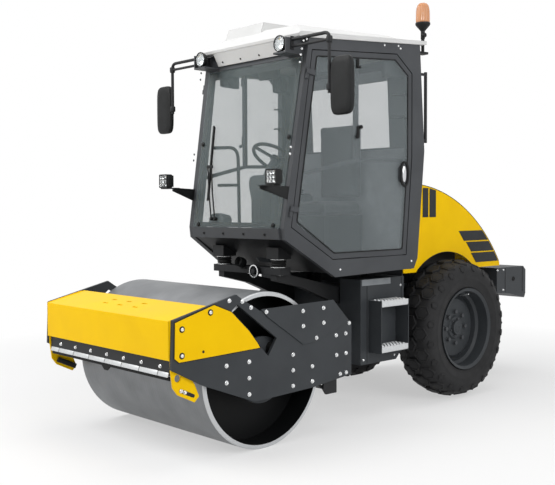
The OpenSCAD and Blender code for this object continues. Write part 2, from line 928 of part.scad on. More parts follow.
module horn() {
    color(black)
        translate([mount_x + cross_arm.x / 2 + seat_gap, 120, mount_low - 30])
            rotate([0, 90, 0]) {
                cylinder(h = 30, d = 90);
                cylinder(h = 42, d = 56);
            }
}

module cab_mounts() {
    color(rubber) both() {
        translate([mount_x, mount_y, mount_low])
            cylinder(h = mount_top - mount_low, d = mount_d);
        translate([foot_x, rail_y - rail_t - foot_d / 2 - 4, foot_z])
            cylinder(h = floor_low - seat_gap - foot_z, d = foot_d);
    }
}

// Inside the cab.
seat_x = cab_x - 760;
seat_top = 1442;
// Sizes along, across and up, and how far each piece starts behind the seat's middle.
base_size = [420, 400, seat_top - floor_top];
cushion_size = [500, 480, 110];
backrest_size = [110, 460, 620];
base_back = 200;
cushion_back = 220;
backrest_back = 230;

module seat_base() {
    color(black) translate([seat_x - base_back, -base_size.y / 2, floor_top + seat_gap])
        cube(base_size);
}

module seat_cushion() {
    color(black)
        translate([seat_x - cushion_back, -cushion_size.y / 2, seat_top + 2 * seat_gap])
            cube(cushion_size);
}

module seat_backrest() {
    color(black) translate([
        seat_x - backrest_back, -backrest_size.y / 2,
        seat_top + cushion_size.z + 3 * seat_gap
    ]) cube(backrest_size);
}

column_d = 60;
wheel_tilt = 35;
wheel_hub = [cab_x - 240, 0, 1860];
wheel_boss = [28, 80];
wheel_ring = [180, 26];
spoke_size = [145, 28, 12];
column_l = 260;
side_console = [420, 120, 560];

module console() {
    color(black) {
        cab_slab([
            [-290, floor_top + seat_gap], [-262, floor_top + seat_gap], [-40, 1248],
            [-40, 1740], [-150, 1740], [-150, 1240], [-290, 1170]
        ], 110);
        translate(wheel_hub) rotate([0, -wheel_tilt, 0])
            translate([0, 0, -column_l])
                cylinder(h = column_l - wheel_boss[0] / 2 - pivot_gap, d = column_d);
        translate([seat_x - 180, -side_console.y - 300, floor_top + seat_gap])
            cube(side_console);
    }
}

module steering_wheel() {
    color(black) translate(wheel_hub) rotate([0, -wheel_tilt, 0]) {
        rotate_extrude() translate([wheel_ring[0], 0]) circle(d = wheel_ring[1]);
        translate([0, 0, -wheel_boss[0] / 2]) cylinder(h = wheel_boss[0], d = wheel_boss[1]);
        for (a = [90, 210, 330]) rotate([0, 0, a])
            translate([30, -spoke_size.y / 2, -spoke_size.z / 2]) cube(spoke_size);
    }
}

// Lamps, mirrors and beacon.
lamp_at = [cab_x + 317, 586, 1703];
lamp_size = [70, 100, 100];
shelf_t = 8;
head_lamp_x = 76;
head_lamp_y = 426;
head_lamp_d = 110;
head_lamp_l = 50;
lamp_z = 2597;

module work_lamps() {
    color(black) both() {
        translate(lamp_at - lamp_size / 2) cube(lamp_size);
        on_side([[-138.5, 1560], [-124.5, 1645], [-350, 1653], [-350, 1628]], 2, 12);
        translate([lamp_at.x - 27, lamp_at.y - 120, lamp_at.z - lamp_size.z / 2 - shelf_t])
            cube([60, 150, shelf_t + eps]);
    }
}

module head_lamps() {
    color(black) both() translate([cab_x + head_lamp_x, head_lamp_y, lamp_z])
        rotate([0, 90, 0]) cylinder(h = head_lamp_l, d = head_lamp_d);
}

beacon = [cab_x - 1120, 660, 2870];
beacon_d = 110;
cap_t = 45;
stem_l = 236;
dome_d = 104;
dome_h = 95;

module beacon_base() {
    color(black) translate(beacon) {
        translate([0, 0, -stem_l]) cylinder(h = stem_l - cap_t + 5, d = arm_d);
        translate([0, 0, -cap_t]) cylinder(h = cap_t, d = beacon_d);
    }
    color(black) on_side([[1043.8, 2634], [1142, 2634], [1142, 2650], [1042.8, 2650]], 20, 60);
}

module beacon_dome() {
    color(amber) translate(beacon + [0, 0, seat_gap]) {
        cylinder(h = dome_h, d = dome_d);
        translate([0, 0, dome_h]) sphere(d = dome_d);
    }
}

mirror_at = [cab_x + 72, 945, 2273];
mirror_size = [40, 187, 370];
arm_z = 2620;
arm_d = 24;
arm_low = 40;
arm_y = mirror_at.y - mirror_size.y / 2 - arm_d / 2 - seat_gap;

module mirror_arms() {
    color(black) both() {
        cross_bar(mirror_at.x, arm_z, arm_d, lamp_plate_y[1] + seat_gap, arm_y);
        translate([mirror_at.x, arm_y, mirror_at.z - arm_low])
            cylinder(h = arm_z + arm_d / 2 - mirror_at.z + arm_low, d = arm_d);
    }
}

module mirrors() {
    color(black) both() translate(mirror_at - mirror_size / 2) cube(mirror_size);
}

// Wheels. The tyre's carcass carries staggered rows of six-sided blocks.
tyre_profile = [
    [rim_d / 2 + seat_gap, -tyre_w / 2 + 30], [tyre_d / 2 - 120, -tyre_w / 2],
    [tyre_d / 2 - 62, -tyre_w / 2 + 6], [tyre_d / 2 - lug_h - 8, -tyre_w / 2 + 50],
    [tyre_d / 2 - lug_h, -tyre_w / 2 + 90], [tyre_d / 2 - lug_h, tyre_w / 2 - 90],
    [tyre_d / 2 - lug_h - 8, tyre_w / 2 - 50], [tyre_d / 2 - 62, tyre_w / 2 - 6],
    [tyre_d / 2 - 120, tyre_w / 2], [rim_d / 2 + seat_gap, tyre_w / 2 - 30]
];
// Steps of the carcass in a coarse mesh: few, because the blocks divide them again.
carcass_steps = 48;
block_count = 20;
block_r = 62;
block_base = tyre_d / 2 - lug_h - 30;
// Columns: sideways place of a row's foot, turn in pitches, lean and height of its blocks.
block_rows = [
    [-92, 0, -16, lug_h + 13], [0, 0.5, 0, lug_h + 26], [92, 0, 16, lug_h + 13]
];

module tread_blocks() {
    for (row = block_rows, i = [0 : block_count - 1])
        rotate([0, 0, (i + row[1]) * 360 / block_count])
            translate([block_base, 0, row[0]]) rotate([0, 90 - row[2], 0])
                cylinder(h = row[3], r = block_r, $fn = 6);
}

module tyre(side) {
    color(rubber) translate([axle_x, side * track / 2, axle_z]) rotate([90, 0, 0]) {
        rotate_extrude($fn = carcass_steps) polygon(tyre_profile);
        tread_blocks();
    }
}

lip_h = 10;
stud_count = 8;
stud_d = 20;
rim_profile = [
    [0, 10], [200, 10], [235, -6], [rim_d / 2 - 35, -12],
    [rim_d / 2 - 20, -tyre_w / 2 + 20], [rim_d / 2 + lip_h, -tyre_w / 2 + 8],
    [rim_d / 2 + lip_h, -tyre_w / 2 + 18], [rim_d / 2, -tyre_w / 2 + 24],
    [rim_d / 2, tyre_w / 2 - 24], [rim_d / 2 + lip_h, tyre_w / 2 - 18],
    [rim_d / 2 + lip_h, tyre_w / 2 - 8], [rim_d / 2 - 14, tyre_w / 2 - 20],
    [rim_d / 2 - 20, 60], [rim_d / 2 - 42, 44], [rim_d / 2 - 48, 6], [250, 10], [225, 30],
    [95, 30], [85, 44], [60, 44], [55, 66], [0, 66]
];

module rim(side) {
    color(dark) translate([axle_x, side * track / 2, axle_z]) rotate([-90 * side, 0, 0])
        difference() {
            rotate_extrude() polygon(rim_profile);
            for (i = [1 : stud_count]) rotate([0, 0, i * 360 / stud_count])
                translate([stud_circle / 2, 0, 0]) cylinder(h = 80, d = stud_d, center = true);
        }
}

module tyre_left() { tyre(1); }
module tyre_right() { tyre(-1); }
module rim_left() { rim(1); }
module rim_right() { rim(-1); }

// Hood. Its top is part of a large cylinder, its lower edge clears the tyres.
arch_r = tyre_d / 2 + arch_gap;
hood_arc = [axle_x + 487, 168];
hood_r = 1520;
hood_front = cab_x - 1096;
hood_back = axle_x - 765;
hood_low = 1000;

// Firewall under the hood's front edge, with the rod on which the hood turns.
wall_t = 10;
hinge_at = [hood_front - 40, 1650];
hinge_d = 20;
hinge_y = 220;
hinge_end = hinge_y + 40;
eye_t = 12;
wall_top = hinge_at.y - 25;
wall_half = hood_y - hood_t - 5;

// The hood's outer form, shrunk by a distance at its sides, top and rear.
module hood_block(shrink, low, front) {
    y = hood_y - shrink;
    intersection() {
        translate([hood_back + shrink, -y, low]) cube([front - hood_back - shrink, 2 * y, hood_r]);
        cross_bar(hood_arc.x, hood_arc.y, 2 * (hood_r - shrink), -y, y, $fn = 3 * $fn);
    }
}

module hood() {
    color(yellow) {
        difference() {
            hood_block(0, hood_low, hood_front);
            hood_block(hood_t, hood_low - eps, hood_front + eps);
            cross_bar(axle_x, axle_z, 2 * arch_r, -hood_y - eps, hood_y + eps);
        }
        both() difference() {
            slab([
                [hinge_at.x - hinge_d - 2, hinge_at.y - hinge_d],
                [hinge_at.x + hinge_d + 2, hinge_at.y - hinge_d],
                [hinge_at.x + hinge_d + 2, hood_arc.y + hood_r - hood_t / 2],
                [hinge_at.x - hinge_d - 2, hood_arc.y + hood_r - hood_t / 2]
            ], hinge_y, hinge_y + eye_t);
            cross_bar(hinge_at.x, hinge_at.y, hinge_d + 2 * pivot_gap, hinge_y - eps,
                      hinge_y + eye_t + eps);
        }
    }
}

slat_t = 3;
slat_slant = 0.9;
// Columns: front end at the top, rear end, lower edge and upper edge, from the rear axle.
slats = [
    [-167, -590, 1227, 1309], [-271, -710, 1135, 1216], [-340, -755, 1043, 1124],
    [309, 240, 1426, 1654], [222, 142, 1426, 1654]
];

module hood_slats() {
    color(black) both() intersection() {
        for (p = slats) {
            slant = p[0] < 0 ? slat_slant * (p[3] - p[2]) : 0;
            translate([axle_x, 0, 0]) slab([
                [p[1], p[2]], [p[0] - slant, p[2]], [p[0], p[3]], [p[1], p[3]]
            ], hood_y + seat_gap, hood_y + seat_gap + slat_t);
        }
        cross_bar(hood_arc.x, hood_arc.y, 2 * (hood_r - 12), hood_y, hood_y + 2 * slat_t,
                  $fn = 3 * $fn);
    }
}

rear_frame();
side_boxes();
step_brackets();
step_treads();
axle();
engine();
tail_box();
hood_stops();
cab_arms();
horn();
cab_mounts();
cab_floor();
cab_sides();
cab_back();
cab_front();
cab_roof();
grab_tubes();
windscreen();
back_glass();
seat_base();
seat_cushion();
seat_backrest();
console();
steering_wheel();
work_lamps();
head_lamps();
beacon_base();
beacon_dome();
mirror_arms();
mirrors();
knuckle();
steer_barrel();
steer_rod();
side_plates();
cover_plates();
side_panels();
front_beam();
rear_beam();
drum_carriers();
drum_buffers();
front_scraper();
rear_scraper();
drum_shell();
drum_heads();
tyre_left();
rim_left();
tyre_right();
rim_right();
door_left();
door_glass_left();
door_right();
door_glass_right();
hood();
hood_slats();
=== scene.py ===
import json
import math

import bmesh
import bpy
from mathutils import Matrix, Vector

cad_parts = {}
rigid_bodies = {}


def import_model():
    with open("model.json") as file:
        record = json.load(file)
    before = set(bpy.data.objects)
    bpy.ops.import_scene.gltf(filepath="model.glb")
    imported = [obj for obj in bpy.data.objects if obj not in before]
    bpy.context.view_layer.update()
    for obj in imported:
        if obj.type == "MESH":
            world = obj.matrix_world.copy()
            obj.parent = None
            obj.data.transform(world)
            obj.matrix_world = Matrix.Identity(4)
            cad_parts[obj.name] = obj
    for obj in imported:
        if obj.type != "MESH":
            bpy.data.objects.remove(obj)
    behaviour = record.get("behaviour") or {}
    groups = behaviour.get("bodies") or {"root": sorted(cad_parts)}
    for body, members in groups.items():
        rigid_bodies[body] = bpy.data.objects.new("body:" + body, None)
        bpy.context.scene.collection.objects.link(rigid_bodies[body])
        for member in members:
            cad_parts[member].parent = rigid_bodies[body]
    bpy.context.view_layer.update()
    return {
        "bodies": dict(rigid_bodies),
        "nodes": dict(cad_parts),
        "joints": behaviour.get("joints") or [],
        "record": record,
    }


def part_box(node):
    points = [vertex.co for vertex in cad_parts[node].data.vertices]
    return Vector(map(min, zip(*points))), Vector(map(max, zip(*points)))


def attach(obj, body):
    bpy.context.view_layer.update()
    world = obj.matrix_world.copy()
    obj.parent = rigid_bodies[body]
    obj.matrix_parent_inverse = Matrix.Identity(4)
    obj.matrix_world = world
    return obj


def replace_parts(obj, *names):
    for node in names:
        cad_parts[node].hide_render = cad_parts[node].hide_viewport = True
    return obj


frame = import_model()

NODES = frame["nodes"]


# Colours and materials

def linear(code, alpha=1.0):
    """An sRGB hex colour as the linear colour that a shader takes."""
    parts = [int(code[i:i + 2], 16) / 255 for i in (1, 3, 5)]
    return tuple(p / 12.92 if p <= 0.04045 else ((p + 0.055) / 1.055) ** 2.4
                 for p in parts) + (alpha,)


def per_mm(size):
    """The scale of a pattern on Object coordinates whose grain is this many millimetres."""
    return 1000.0 / size


def add(tree, kind, inputs=None, **settings):
    """Adds one node, gives it its settings, and sets or links its inputs."""
    node = tree.nodes.new(kind)
    for name, value in settings.items():
        setattr(node, name, value)
    for name, value in (inputs or {}).items():
        if isinstance(value, bpy.types.NodeSocket):
            tree.links.new(value, node.inputs[name])
        else:
            node.inputs[name].default_value = value
    return node


def new_material(name):
    """An empty node material with its shader and the piece's own coordinates."""
    material = bpy.data.materials.new(name)
    material.use_nodes = True
    tree = material.node_tree
    tree.nodes.clear()
    shader = add(tree, "ShaderNodeBsdfPrincipled")
    add(tree, "ShaderNodeOutputMaterial", {"Surface": shader.outputs["BSDF"]})
    place = add(tree, "ShaderNodeTexCoord").outputs["Object"]
    return material, tree, shader, place


def ramp(tree, factor, low, high, dark, light):
    """Two colours over a factor, changing between low and high."""
    node = add(tree, "ShaderNodeValToRGB", {"Fac": factor})
    node.color_ramp.elements[0].position = low
    node.color_ramp.elements[0].color = dark
    node.color_ramp.elements[1].position = high
    node.color_ramp.elements[1].color = light
    return node.outputs["Color"]


def relief(tree, shader, height, strength, depth, edge=0.0):
    """Fine relief in millimetres, over edges that look rounded where a radius is given."""
    inputs = {"Height": height, "Strength": strength, "Distance": depth / 1000}
    if edge:
        inputs["Normal"] = add(tree, "ShaderNodeBevel", {"Radius": edge / 1000},
                               samples=4).outputs["Normal"]
    tree.links.new(add(tree, "ShaderNodeBump", inputs).outputs["Normal"],
                   shader.inputs["Normal"])


def painted(name, colour, shade, rough, orange_peel=2.5, bump=0.05, metallic=0.0,
            coat=0.0, shine=0.5, edge=3.0):
    """Sprayed paint: a faint drift of tone, uneven gloss and an orange peel."""
    material, tree, shader, place = new_material(name)
    drift = add(tree, "ShaderNodeTexNoise",
                {"Vector": place, "Scale": per_mm(240), "Detail": 4.0})
    tone = ramp(tree, drift.outputs["Fac"], 0.32, 0.68, linear(shade), linear(colour))
    tree.links.new(tone, shader.inputs["Base Color"])
    spread = add(tree, "ShaderNodeMapRange",
                 {"Value": drift.outputs["Fac"], "To Min": rough - 0.06, "To Max": rough + 0.08})
    tree.links.new(spread.outputs["Result"], shader.inputs["Roughness"])
    peel = add(tree, "ShaderNodeTexNoise",
               {"Vector": place, "Scale": per_mm(orange_peel), "Detail": 2.0})
    relief(tree, shader, peel.outputs["Fac"], bump, 0.6, edge)
    shader.inputs["Metallic"].default_value = metallic
    shader.inputs["Specular IOR Level"].default_value = shine
    shader.inputs["Coat Weight"].default_value = coat
    shader.inputs["Coat Roughness"].default_value = 0.12
    return material


def rolled_steel():
    """The drum: steel worn grey by rolling, bright at its two rims with a painted highlight, near
    black inside the rims' radius.
    """
    material, tree, shader, place = new_material("rolled_steel")
    centred = add(tree, "ShaderNodeMapping", {"Vector": place, "Location": (-1.31, 0, -0.491)})
    apart = add(tree, "ShaderNodeSeparateXYZ", {"Vector": centred.outputs["Vector"]})
    across = add(tree, "ShaderNodeCombineXYZ", {"Y": apart.outputs["Y"]})
    lines = add(tree, "ShaderNodeTexNoise",
                {"Vector": across.outputs["Vector"], "Scale": per_mm(9), "Detail": 5.0})
    blotch = add(tree, "ShaderNodeTexNoise",
                 {"Vector": place, "Scale": per_mm(160), "Detail": 5.0})
    both = add(tree, "ShaderNodeMix", {"Factor": 0.45, "A": blotch.outputs["Fac"],
                                       "B": lines.outputs["Fac"]})
    worn = ramp(tree, both.outputs["Result"], 0.3, 0.72, linear("#747678"), linear("#939597"))
    # Painted highlight: a pale band along both rims stands in for the light on a rim chamfer.
    off = add(tree, "ShaderNodeMath", {0: apart.outputs["Y"]}, operation="ABSOLUTE")
    rim = add(tree, "ShaderNodeMath", {0: off.outputs[0], 1: 0.678}, operation="GREATER_THAN")
    rim_painted_highlight = add(tree, "ShaderNodeMix", {"Factor": rim.outputs[0], "A": worn,
                                        "B": linear("#C4C6C8")}, data_type="RGBA")
    # Near black on every surface inside the rims' radius.
    flat = add(tree, "ShaderNodeCombineXYZ", {"X": apart.outputs["X"], "Z": apart.outputs["Z"]})
    radius = add(tree, "ShaderNodeVectorMath", {0: flat.outputs["Vector"]}, operation="LENGTH")
    outside = add(tree, "ShaderNodeMath", {0: radius.outputs["Value"], 1: 0.4645},
                  operation="GREATER_THAN")
    colour = add(tree, "ShaderNodeMix", {"Factor": outside.outputs[0], "A": linear("#101112"),
                                         "B": rim_painted_highlight.outputs["Result"]}, data_type="RGBA")
    tree.links.new(colour.outputs["Result"], shader.inputs["Base Color"])
    bare = add(tree, "ShaderNodeMath", {0: outside.outputs[0], 1: 0.7}, operation="MULTIPLY")
    tree.links.new(bare.outputs[0], shader.inputs["Metallic"])
    gloss = add(tree, "ShaderNodeMapRange",
                {"Value": both.outputs["Result"], "To Min": 0.4, "To Max": 0.6})
    tree.links.new(gloss.outputs["Result"], shader.inputs["Roughness"])
    relief(tree, shader, lines.outputs["Fac"], 0.12, 0.8)
    shader.inputs["Specular IOR Level"].default_value = 0.15
    return material


def galvanised(name, colour, shade, rough, edge=1.5):
    """Zinc on steel: pale spangles the size of a fingernail, dull between them."""
    material, tree, shader, place = new_material(name)
    spangle = add(tree, "ShaderNodeTexVoronoi", {"Vector": place, "Scale": per_mm(14)})
    tone = ramp(tree, spangle.outputs["Distance"], 0.1, 0.8, linear(shade), linear(colour))
    tree.links.new(tone, shader.inputs["Base Color"])
    relief(tree, shader, spangle.outputs["Distance"], 0.08, 0.5, edge)
    shader.inputs["Metallic"].default_value = 0.8
    shader.inputs["Roughness"].default_value = rough
    return material


def moulded(name, colour, shade, grain, rough, bump=0.25, depth=0.6, edge=2.0):
    """Moulded plastic or rubber: a fine even grain that breaks up the highlight."""
    material, tree, shader, place = new_material(name)
    cloud = add(tree, "ShaderNodeTexNoise",
                {"Vector": place, "Scale": per_mm(90), "Detail": 3.0})
    tone = ramp(tree, cloud.outputs["Fac"], 0.3, 0.7, linear(shade), linear(colour))
    tree.links.new(tone, shader.inputs["Base Color"])
    pebble = add(tree, "ShaderNodeTexVoronoi", {"Vector": place, "Scale": per_mm(grain)})
    relief(tree, shader, pebble.outputs["Distance"], bump, depth, edge)
    shader.inputs["Roughness"].default_value = rough
    shader.inputs["Specular IOR Level"].default_value = 0.2
    return material


def clear(name, colour, rough=0.03, ior=1.49):
    """Clear lens plastic, with a trace of unevenness in its polish."""
    material, tree, shader, place = new_material(name)
    wave = add(tree, "ShaderNodeTexNoise", {"Vector": place, "Scale": per_mm(60)})
    polish = add(tree, "ShaderNodeMapRange",
                 {"Value": wave.outputs["Fac"], "To Min": rough, "To Max": rough + 0.03})
    tree.links.new(polish.outputs["Result"], shader.inputs["Roughness"])
    shader.inputs["Base Color"].default_value = linear(colour)
    shader.inputs["IOR"].default_value = ior
    shader.inputs["Transmission Weight"].default_value = 1.0
    return material


def pane(name, colour, through, rough=0.03):
    """Thin tinted glass: mostly see-through, with its tint and a mirror at low angles."""
    material, tree, shader, place = new_material(name)
    haze = add(tree, "ShaderNodeTexNoise",
               {"Vector": place, "Scale": per_mm(420), "Detail": 3.0})
    film = add(tree, "ShaderNodeMapRange", {"Value": haze.outputs["Fac"],
                                            "To Min": through - 0.05, "To Max": through + 0.05})
    graze = add(tree, "ShaderNodeLayerWeight", {"Blend": 0.12})
    solid = add(tree, "ShaderNodeMath", {0: graze.outputs["Facing"], 1: 0.25,
                                         2: film.outputs["Result"]},
                operation="MULTIPLY_ADD", use_clamp=True)
    tree.links.new(solid.outputs[0], shader.inputs["Alpha"])
    shader.inputs["Base Color"].default_value = linear(colour)
    shader.inputs["Roughness"].default_value = rough
    return material


def woven(name, warp, weft, thread):
    """Seat cloth: two sets of threads over and under, with a soft sheen on the nap."""
    material, tree, shader, place = new_material(name)
    turned = add(tree, "ShaderNodeMapping", {"Vector": place, "Rotation": (0.2, 0.35, 0.0)})
    first = add(tree, "ShaderNodeTexWave",
                {"Vector": turned.outputs["Vector"], "Scale": per_mm(thread) / 6.28},
                bands_direction="Y")
    second = add(tree, "ShaderNodeTexWave",
                 {"Vector": turned.outputs["Vector"], "Scale": per_mm(thread) / 6.28},
                 bands_direction="X")
    over = add(tree, "ShaderNodeMath",
               {0: first.outputs["Fac"], 1: second.outputs["Fac"]}, operation="MAXIMUM")
    tone = ramp(tree, over.outputs[0], 0.2, 0.9, linear(weft), linear(warp))
    tree.links.new(tone, shader.inputs["Base Color"])
    relief(tree, shader, over.outputs[0], 0.5, 0.8)
    shader.inputs["Roughness"].default_value = 0.92
    shader.inputs["Sheen Weight"].default_value = 0.35
    shader.inputs["Sheen Roughness"].default_value = 0.5
    return material


# Gloss enamel on the beam, the side panels and the hood: a warm, even yellow.
enamel_yellow = painted("gloss_enamel_yellow", "#FBCB02", "#F5C401", 0.38, shine=0.08, edge=5.0)
# Powder coat on plates and frame: satin anthracite that reads a little blue.
coat_dark = painted("powder_coat_anthracite", "#3D4043", "#36393C", 0.5, 1.8, 0.12, shine=0.22)
# Painted light: the cab's frame has the same coat, made one tone lighter for the light it stands
# in.
coat_dark_lit_copy = painted("powder_coat_anthracite_lit_copy", "#4B4D50", "#444649", 0.46, 1.8, 0.1, shine=0.22)
# Chassis black under the cab and on the engine: flatter and nearly neutral.
coat_black = painted("chassis_black", "#202123", "#17181A", 0.5, 2.2, 0.15, shine=0.3)
# White roof cap, sprayed over moulded plastic: clean, with a soft gloss.
roof_white = painted("sprayed_roof_white", "#DCDCDB", "#D5D5D4", 0.4, 3.0, 0.04, shine=0.1,
                     edge=8.0)
# Drum: bare steel.
steel_rolled = rolled_steel()
# Step treads and the scraper's tips.
zinc = galvanised("galvanised_steel", "#D3D5D6", "#C9CBCD", 0.45)
# Bolt heads: zinc plated and small, so they catch the light as bright dots.
zinc_bolt = galvanised("zinc_plated_bolt", "#F1F2F2", "#D3D4D6", 0.26, 0.8)
# Chromed rod of the steering cylinder: a clear mirror with hair lines.
chrome = painted("hard_chrome", "#D9DADB", "#C8C9CB", 0.12, 1.0, 0.02, metallic=1.0)
# ABS on mirrors, consoles, lamp housings and the beacon's foot: fine pebble, dull black.
abs_black = moulded("moulded_abs_black", "#1D1E1F", "#151616", 1.6, 0.5)
# Slats on the hood: dark insert with a coarse grain.
insert_dark = moulded("grained_insert_anthracite", "#303234", "#28292B", 2.0, 0.6)
# Rubber of mounts, buffers, seals and hoses: matt, a shade off black.
rubber = moulded("moulded_rubber", "#242424", "#1A1A1A", 2.4, 0.72, 0.3)
# Tyre rubber: dusty black with larger patches.
tyre_rubber = moulded("tyre_rubber", "#2B2B2C", "#212122", 3.2, 0.66, 0.35, 0.9, 3.0)
# Cab glass: laminated, grey with a trace of green.
glass_grey = pane("tinted_cab_glass", "#8A9798", 0.17)
# Door panes look denser because the lining stands close behind them.
glass_door = pane("tinted_door_glass", "#949EA1", 0.22)
# Lamp lenses: water clear.
lens = clear("lamp_lens", "#F4F6F6")
# Reflectors behind the lenses: vacuum plated, nearly white.
reflector = galvanised("vacuum_plated_reflector", "#F6F7F8", "#DEE0E2", 0.18, 0.5)
# Beacon dome: amber acrylic.
amber = pane("amber_acrylic", "#D2801A", 0.62, 0.12)
# Mirror face: silvered glass.
silvered = painted("silvered_glass", "#DDE0E2", "#D5D8DA", 0.08, 4.0, 0.0, metallic=1.0)
# Seat cover: woven black cloth.
seat_cloth = woven("woven_seat_cloth", "#2E3033", "#1B1C1E", 2.2)
# Inner lining of the cab: light grey moulded panels that show through the glass.
lining = moulded("moulded_lining_grey", "#8E9295", "#7F8386", 1.4, 0.6, 0.06)
# Darker lining on the floor, the column and the consoles.
lining_dark = moulded("moulded_trim_graphite", "#4C5053", "#3F4346", 1.6, 0.55, 0.08)

FINISH = {
    enamel_yellow: ["front_beam", "side_panels", "hood"],
    coat_dark: ["side_plates", "cover_plates", "rear_beam", "drum_carriers", "rear_frame",
                "side_boxes", "step_brackets", "tail_box", "knuckle", "rim_left",
                "rim_right", "axle"],
    # The cab's panels take the lit copy of the dark coat, painted light.
    coat_dark_lit_copy: ["cab_sides", "cab_back", "cab_front", "door_left", "door_right"],
    coat_black: ["engine", "cab_arms", "horn", "mirror_arms", "grab_tubes", "front_scraper",
                 "rear_scraper", "steer_barrel", "cab_floor"],
    roof_white: ["cab_roof"],
    steel_rolled: ["drum_shell", "drum_heads"],
    zinc: ["step_treads"],
    chrome: ["steer_rod"],
    abs_black: ["seat_base", "steering_wheel", "beacon_base", "mirrors", "head_lamps",
                "work_lamps"],
    lining_dark: ["console"],
    insert_dark: ["hood_slats"],
    rubber: ["cab_mounts", "hood_stops", "drum_buffers"],
    tyre_rubber: ["tyre_left", "tyre_right"],
    glass_grey: ["windscreen", "back_glass"],
    glass_door: ["door_glass_left", "door_glass_right"],
    amber: ["beacon_dome"],
    seat_cloth: ["seat_cushion", "seat_backrest"],
}
for material, names in FINISH.items():
    for name in names:
        mesh = NODES[name].data
        mesh.materials.clear()
        mesh.materials.append(material)


# Shapes. Each adds one closed form to a mesh under way, in metres.

def plane(origin, across, up):
    """A frame with its X across, its Y up and its Z out of the face that they span."""
    x = Vector(across).normalized()
    y = Vector(up)
    y = (y - x * y.dot(x)).normalized()
    return Matrix.Translation(origin) @ Matrix((x, y, x.cross(y))).transposed().to_4x4()


def plate(bm, outline, low, high, frame, round_off=0.0):
    """A plate between two heights of a frame, from a closed outline in its plane."""
    vertical = frame.to_3x3() @ Vector((0, 0, 1))
    ring = [bm.verts.new(frame @ Vector((x, y, low))) for x, y in outline]
    made = bmesh.ops.extrude_face_region(bm, geom=[bm.faces.new(ring)])["geom"]
    top = [v for v in made if isinstance(v, bmesh.types.BMVert)]
    bmesh.ops.translate(bm, verts=top, vec=vertical * (high - low))
    if round_off:
        edges = list({e for v in top for e in v.link_edges if e.other_vert(v) in top})
        bmesh.ops.bevel(bm, geom=edges, offset=round_off, segments=2, affect="EDGES",
                        profile=0.6, clamp_overlap=True)


def block(bm, size, frame, round_off, steps=3):
    """A box about a frame's origin, with all its edges rounded."""
    made = bmesh.ops.create_cube(bm, size=1.0,
                                 matrix=frame @ Matrix.Diagonal((*size, 1.0)))["verts"]
    edges = list({e for v in made for e in v.link_edges})
    bmesh.ops.bevel(bm, geom=edges, offset=round_off, segments=steps, affect="EDGES",
                    profile=0.5, clamp_overlap=True)


def lathe(bm, profile, frame, steps=48, closed=False):
    """Turns a profile of radius and height about a frame's Z."""
    rings = []
    for radius, height in profile:
        if radius < 1e-6:
            rings.append([bm.verts.new(frame @ Vector((0, 0, height)))])
        else:
            rings.append([bm.verts.new(frame @ Vector((
                radius * math.cos(2 * math.pi * i / steps),
                radius * math.sin(2 * math.pi * i / steps), height)))
                for i in range(steps)])
    pairs = list(zip(rings, rings[1:] + ([rings[0]] if closed else [])))
    for a, b in pairs:
        for i in range(steps):
            j = (i + 1) % steps
            corners = [a[i % len(a)], a[j % len(a)], b[j % len(b)], b[i % len(b)]]
            bm.faces.new(list(dict.fromkeys(corners)))


def loft(bm, rings):
    """A closed skin over rings with as many points each, capped at both ends."""
    made = [[bm.verts.new(p) for p in ring] for ring in rings]
    count = len(made[0])
    for a, b in zip(made, made[1:]):
        for i in range(count):
            j = (i + 1) % count
            bm.faces.new([a[i], a[j], b[j], b[i]])
    bm.faces.new(made[0])
    bm.faces.new(made[-1])


def oval(frame, half_x, half_y, power=2.6, steps=32):
    """A ring of points between an ellipse and a rectangle, in a frame's plane."""
    ring = []
    for i in range(steps):
        t = 2 * math.pi * i / steps
        c, s = math.cos(t), math.sin(t)
        ring.append(frame @ Vector((half_x * math.copysign(abs(c) ** (2 / power), c),
                                    half_y * math.copysign(abs(s) ** (2 / power), s), 0)))
    return ring


def bend(points, radius, steps=6):
    """A path whose corners are rounded to a radius."""
    points = [Vector(p) for p in points]
    path = [points[0]]
    for before, corner, after in zip(points, points[1:], points[2:]):
        back = (before - corner).normalized()
        on = (after - corner).normalized()
        reach = radius / math.tan(max(back.angle(on), 0.01) / 2)
        reach = min(reach, (before - corner).length * 0.49, (after - corner).length * 0.49)
        start, end = corner + back * reach, corner + on * reach
        for i in range(steps + 1):
            t = i / steps
            path.append(start.lerp(corner, t).lerp(corner.lerp(end, t), t))
    path.append(points[-1])
    return path


def tube(bm, path, radius, sides=14):
    """A round bar along a path."""
    path = [Vector(p) for p in path]
    rings = []
    ahead = (path[1] - path[0]).normalized()
    side = ahead.orthogonal().normalized()
    for i, point in enumerate(path):
        onward = (path[min(i + 1, len(path) - 1)] - path[max(i - 1, 0)]).normalized()
        side = (side - onward * side.dot(onward)).normalized()
        other = onward.cross(side)
        rings.append([point + (side * math.cos(2 * math.pi * k / sides)
                               + other * math.sin(2 * math.pi * k / sides)) * radius
                      for k in range(sides)])
    loft(bm, rings)


def moved_in(outline, distance):
    """An anticlockwise outline with every side moved inwards."""
    points = [Vector(p) for p in outline]
    result = []
    for i, b in enumerate(points):
        a, c = points[i - 1], points[(i + 1) % len(points)]
        d, e = (b - a).normalized(), (c - b).normalized()
        n, m = Vector((-d.y, d.x)), Vector((-e.y, e.x))
        result.append(b + (n + m) * distance / (1 + n.dot(m)))
    return [tuple(p) for p in result]


def rounded(outline, radius, steps=4):
    """A closed outline with its corners rounded."""
    points = [Vector((*p, 0)) for p in outline]
    loop = bend([points[-1]] + points + [points[0]], radius, steps)
    return [(p.x, p.y) for p in loop[1:-1]]


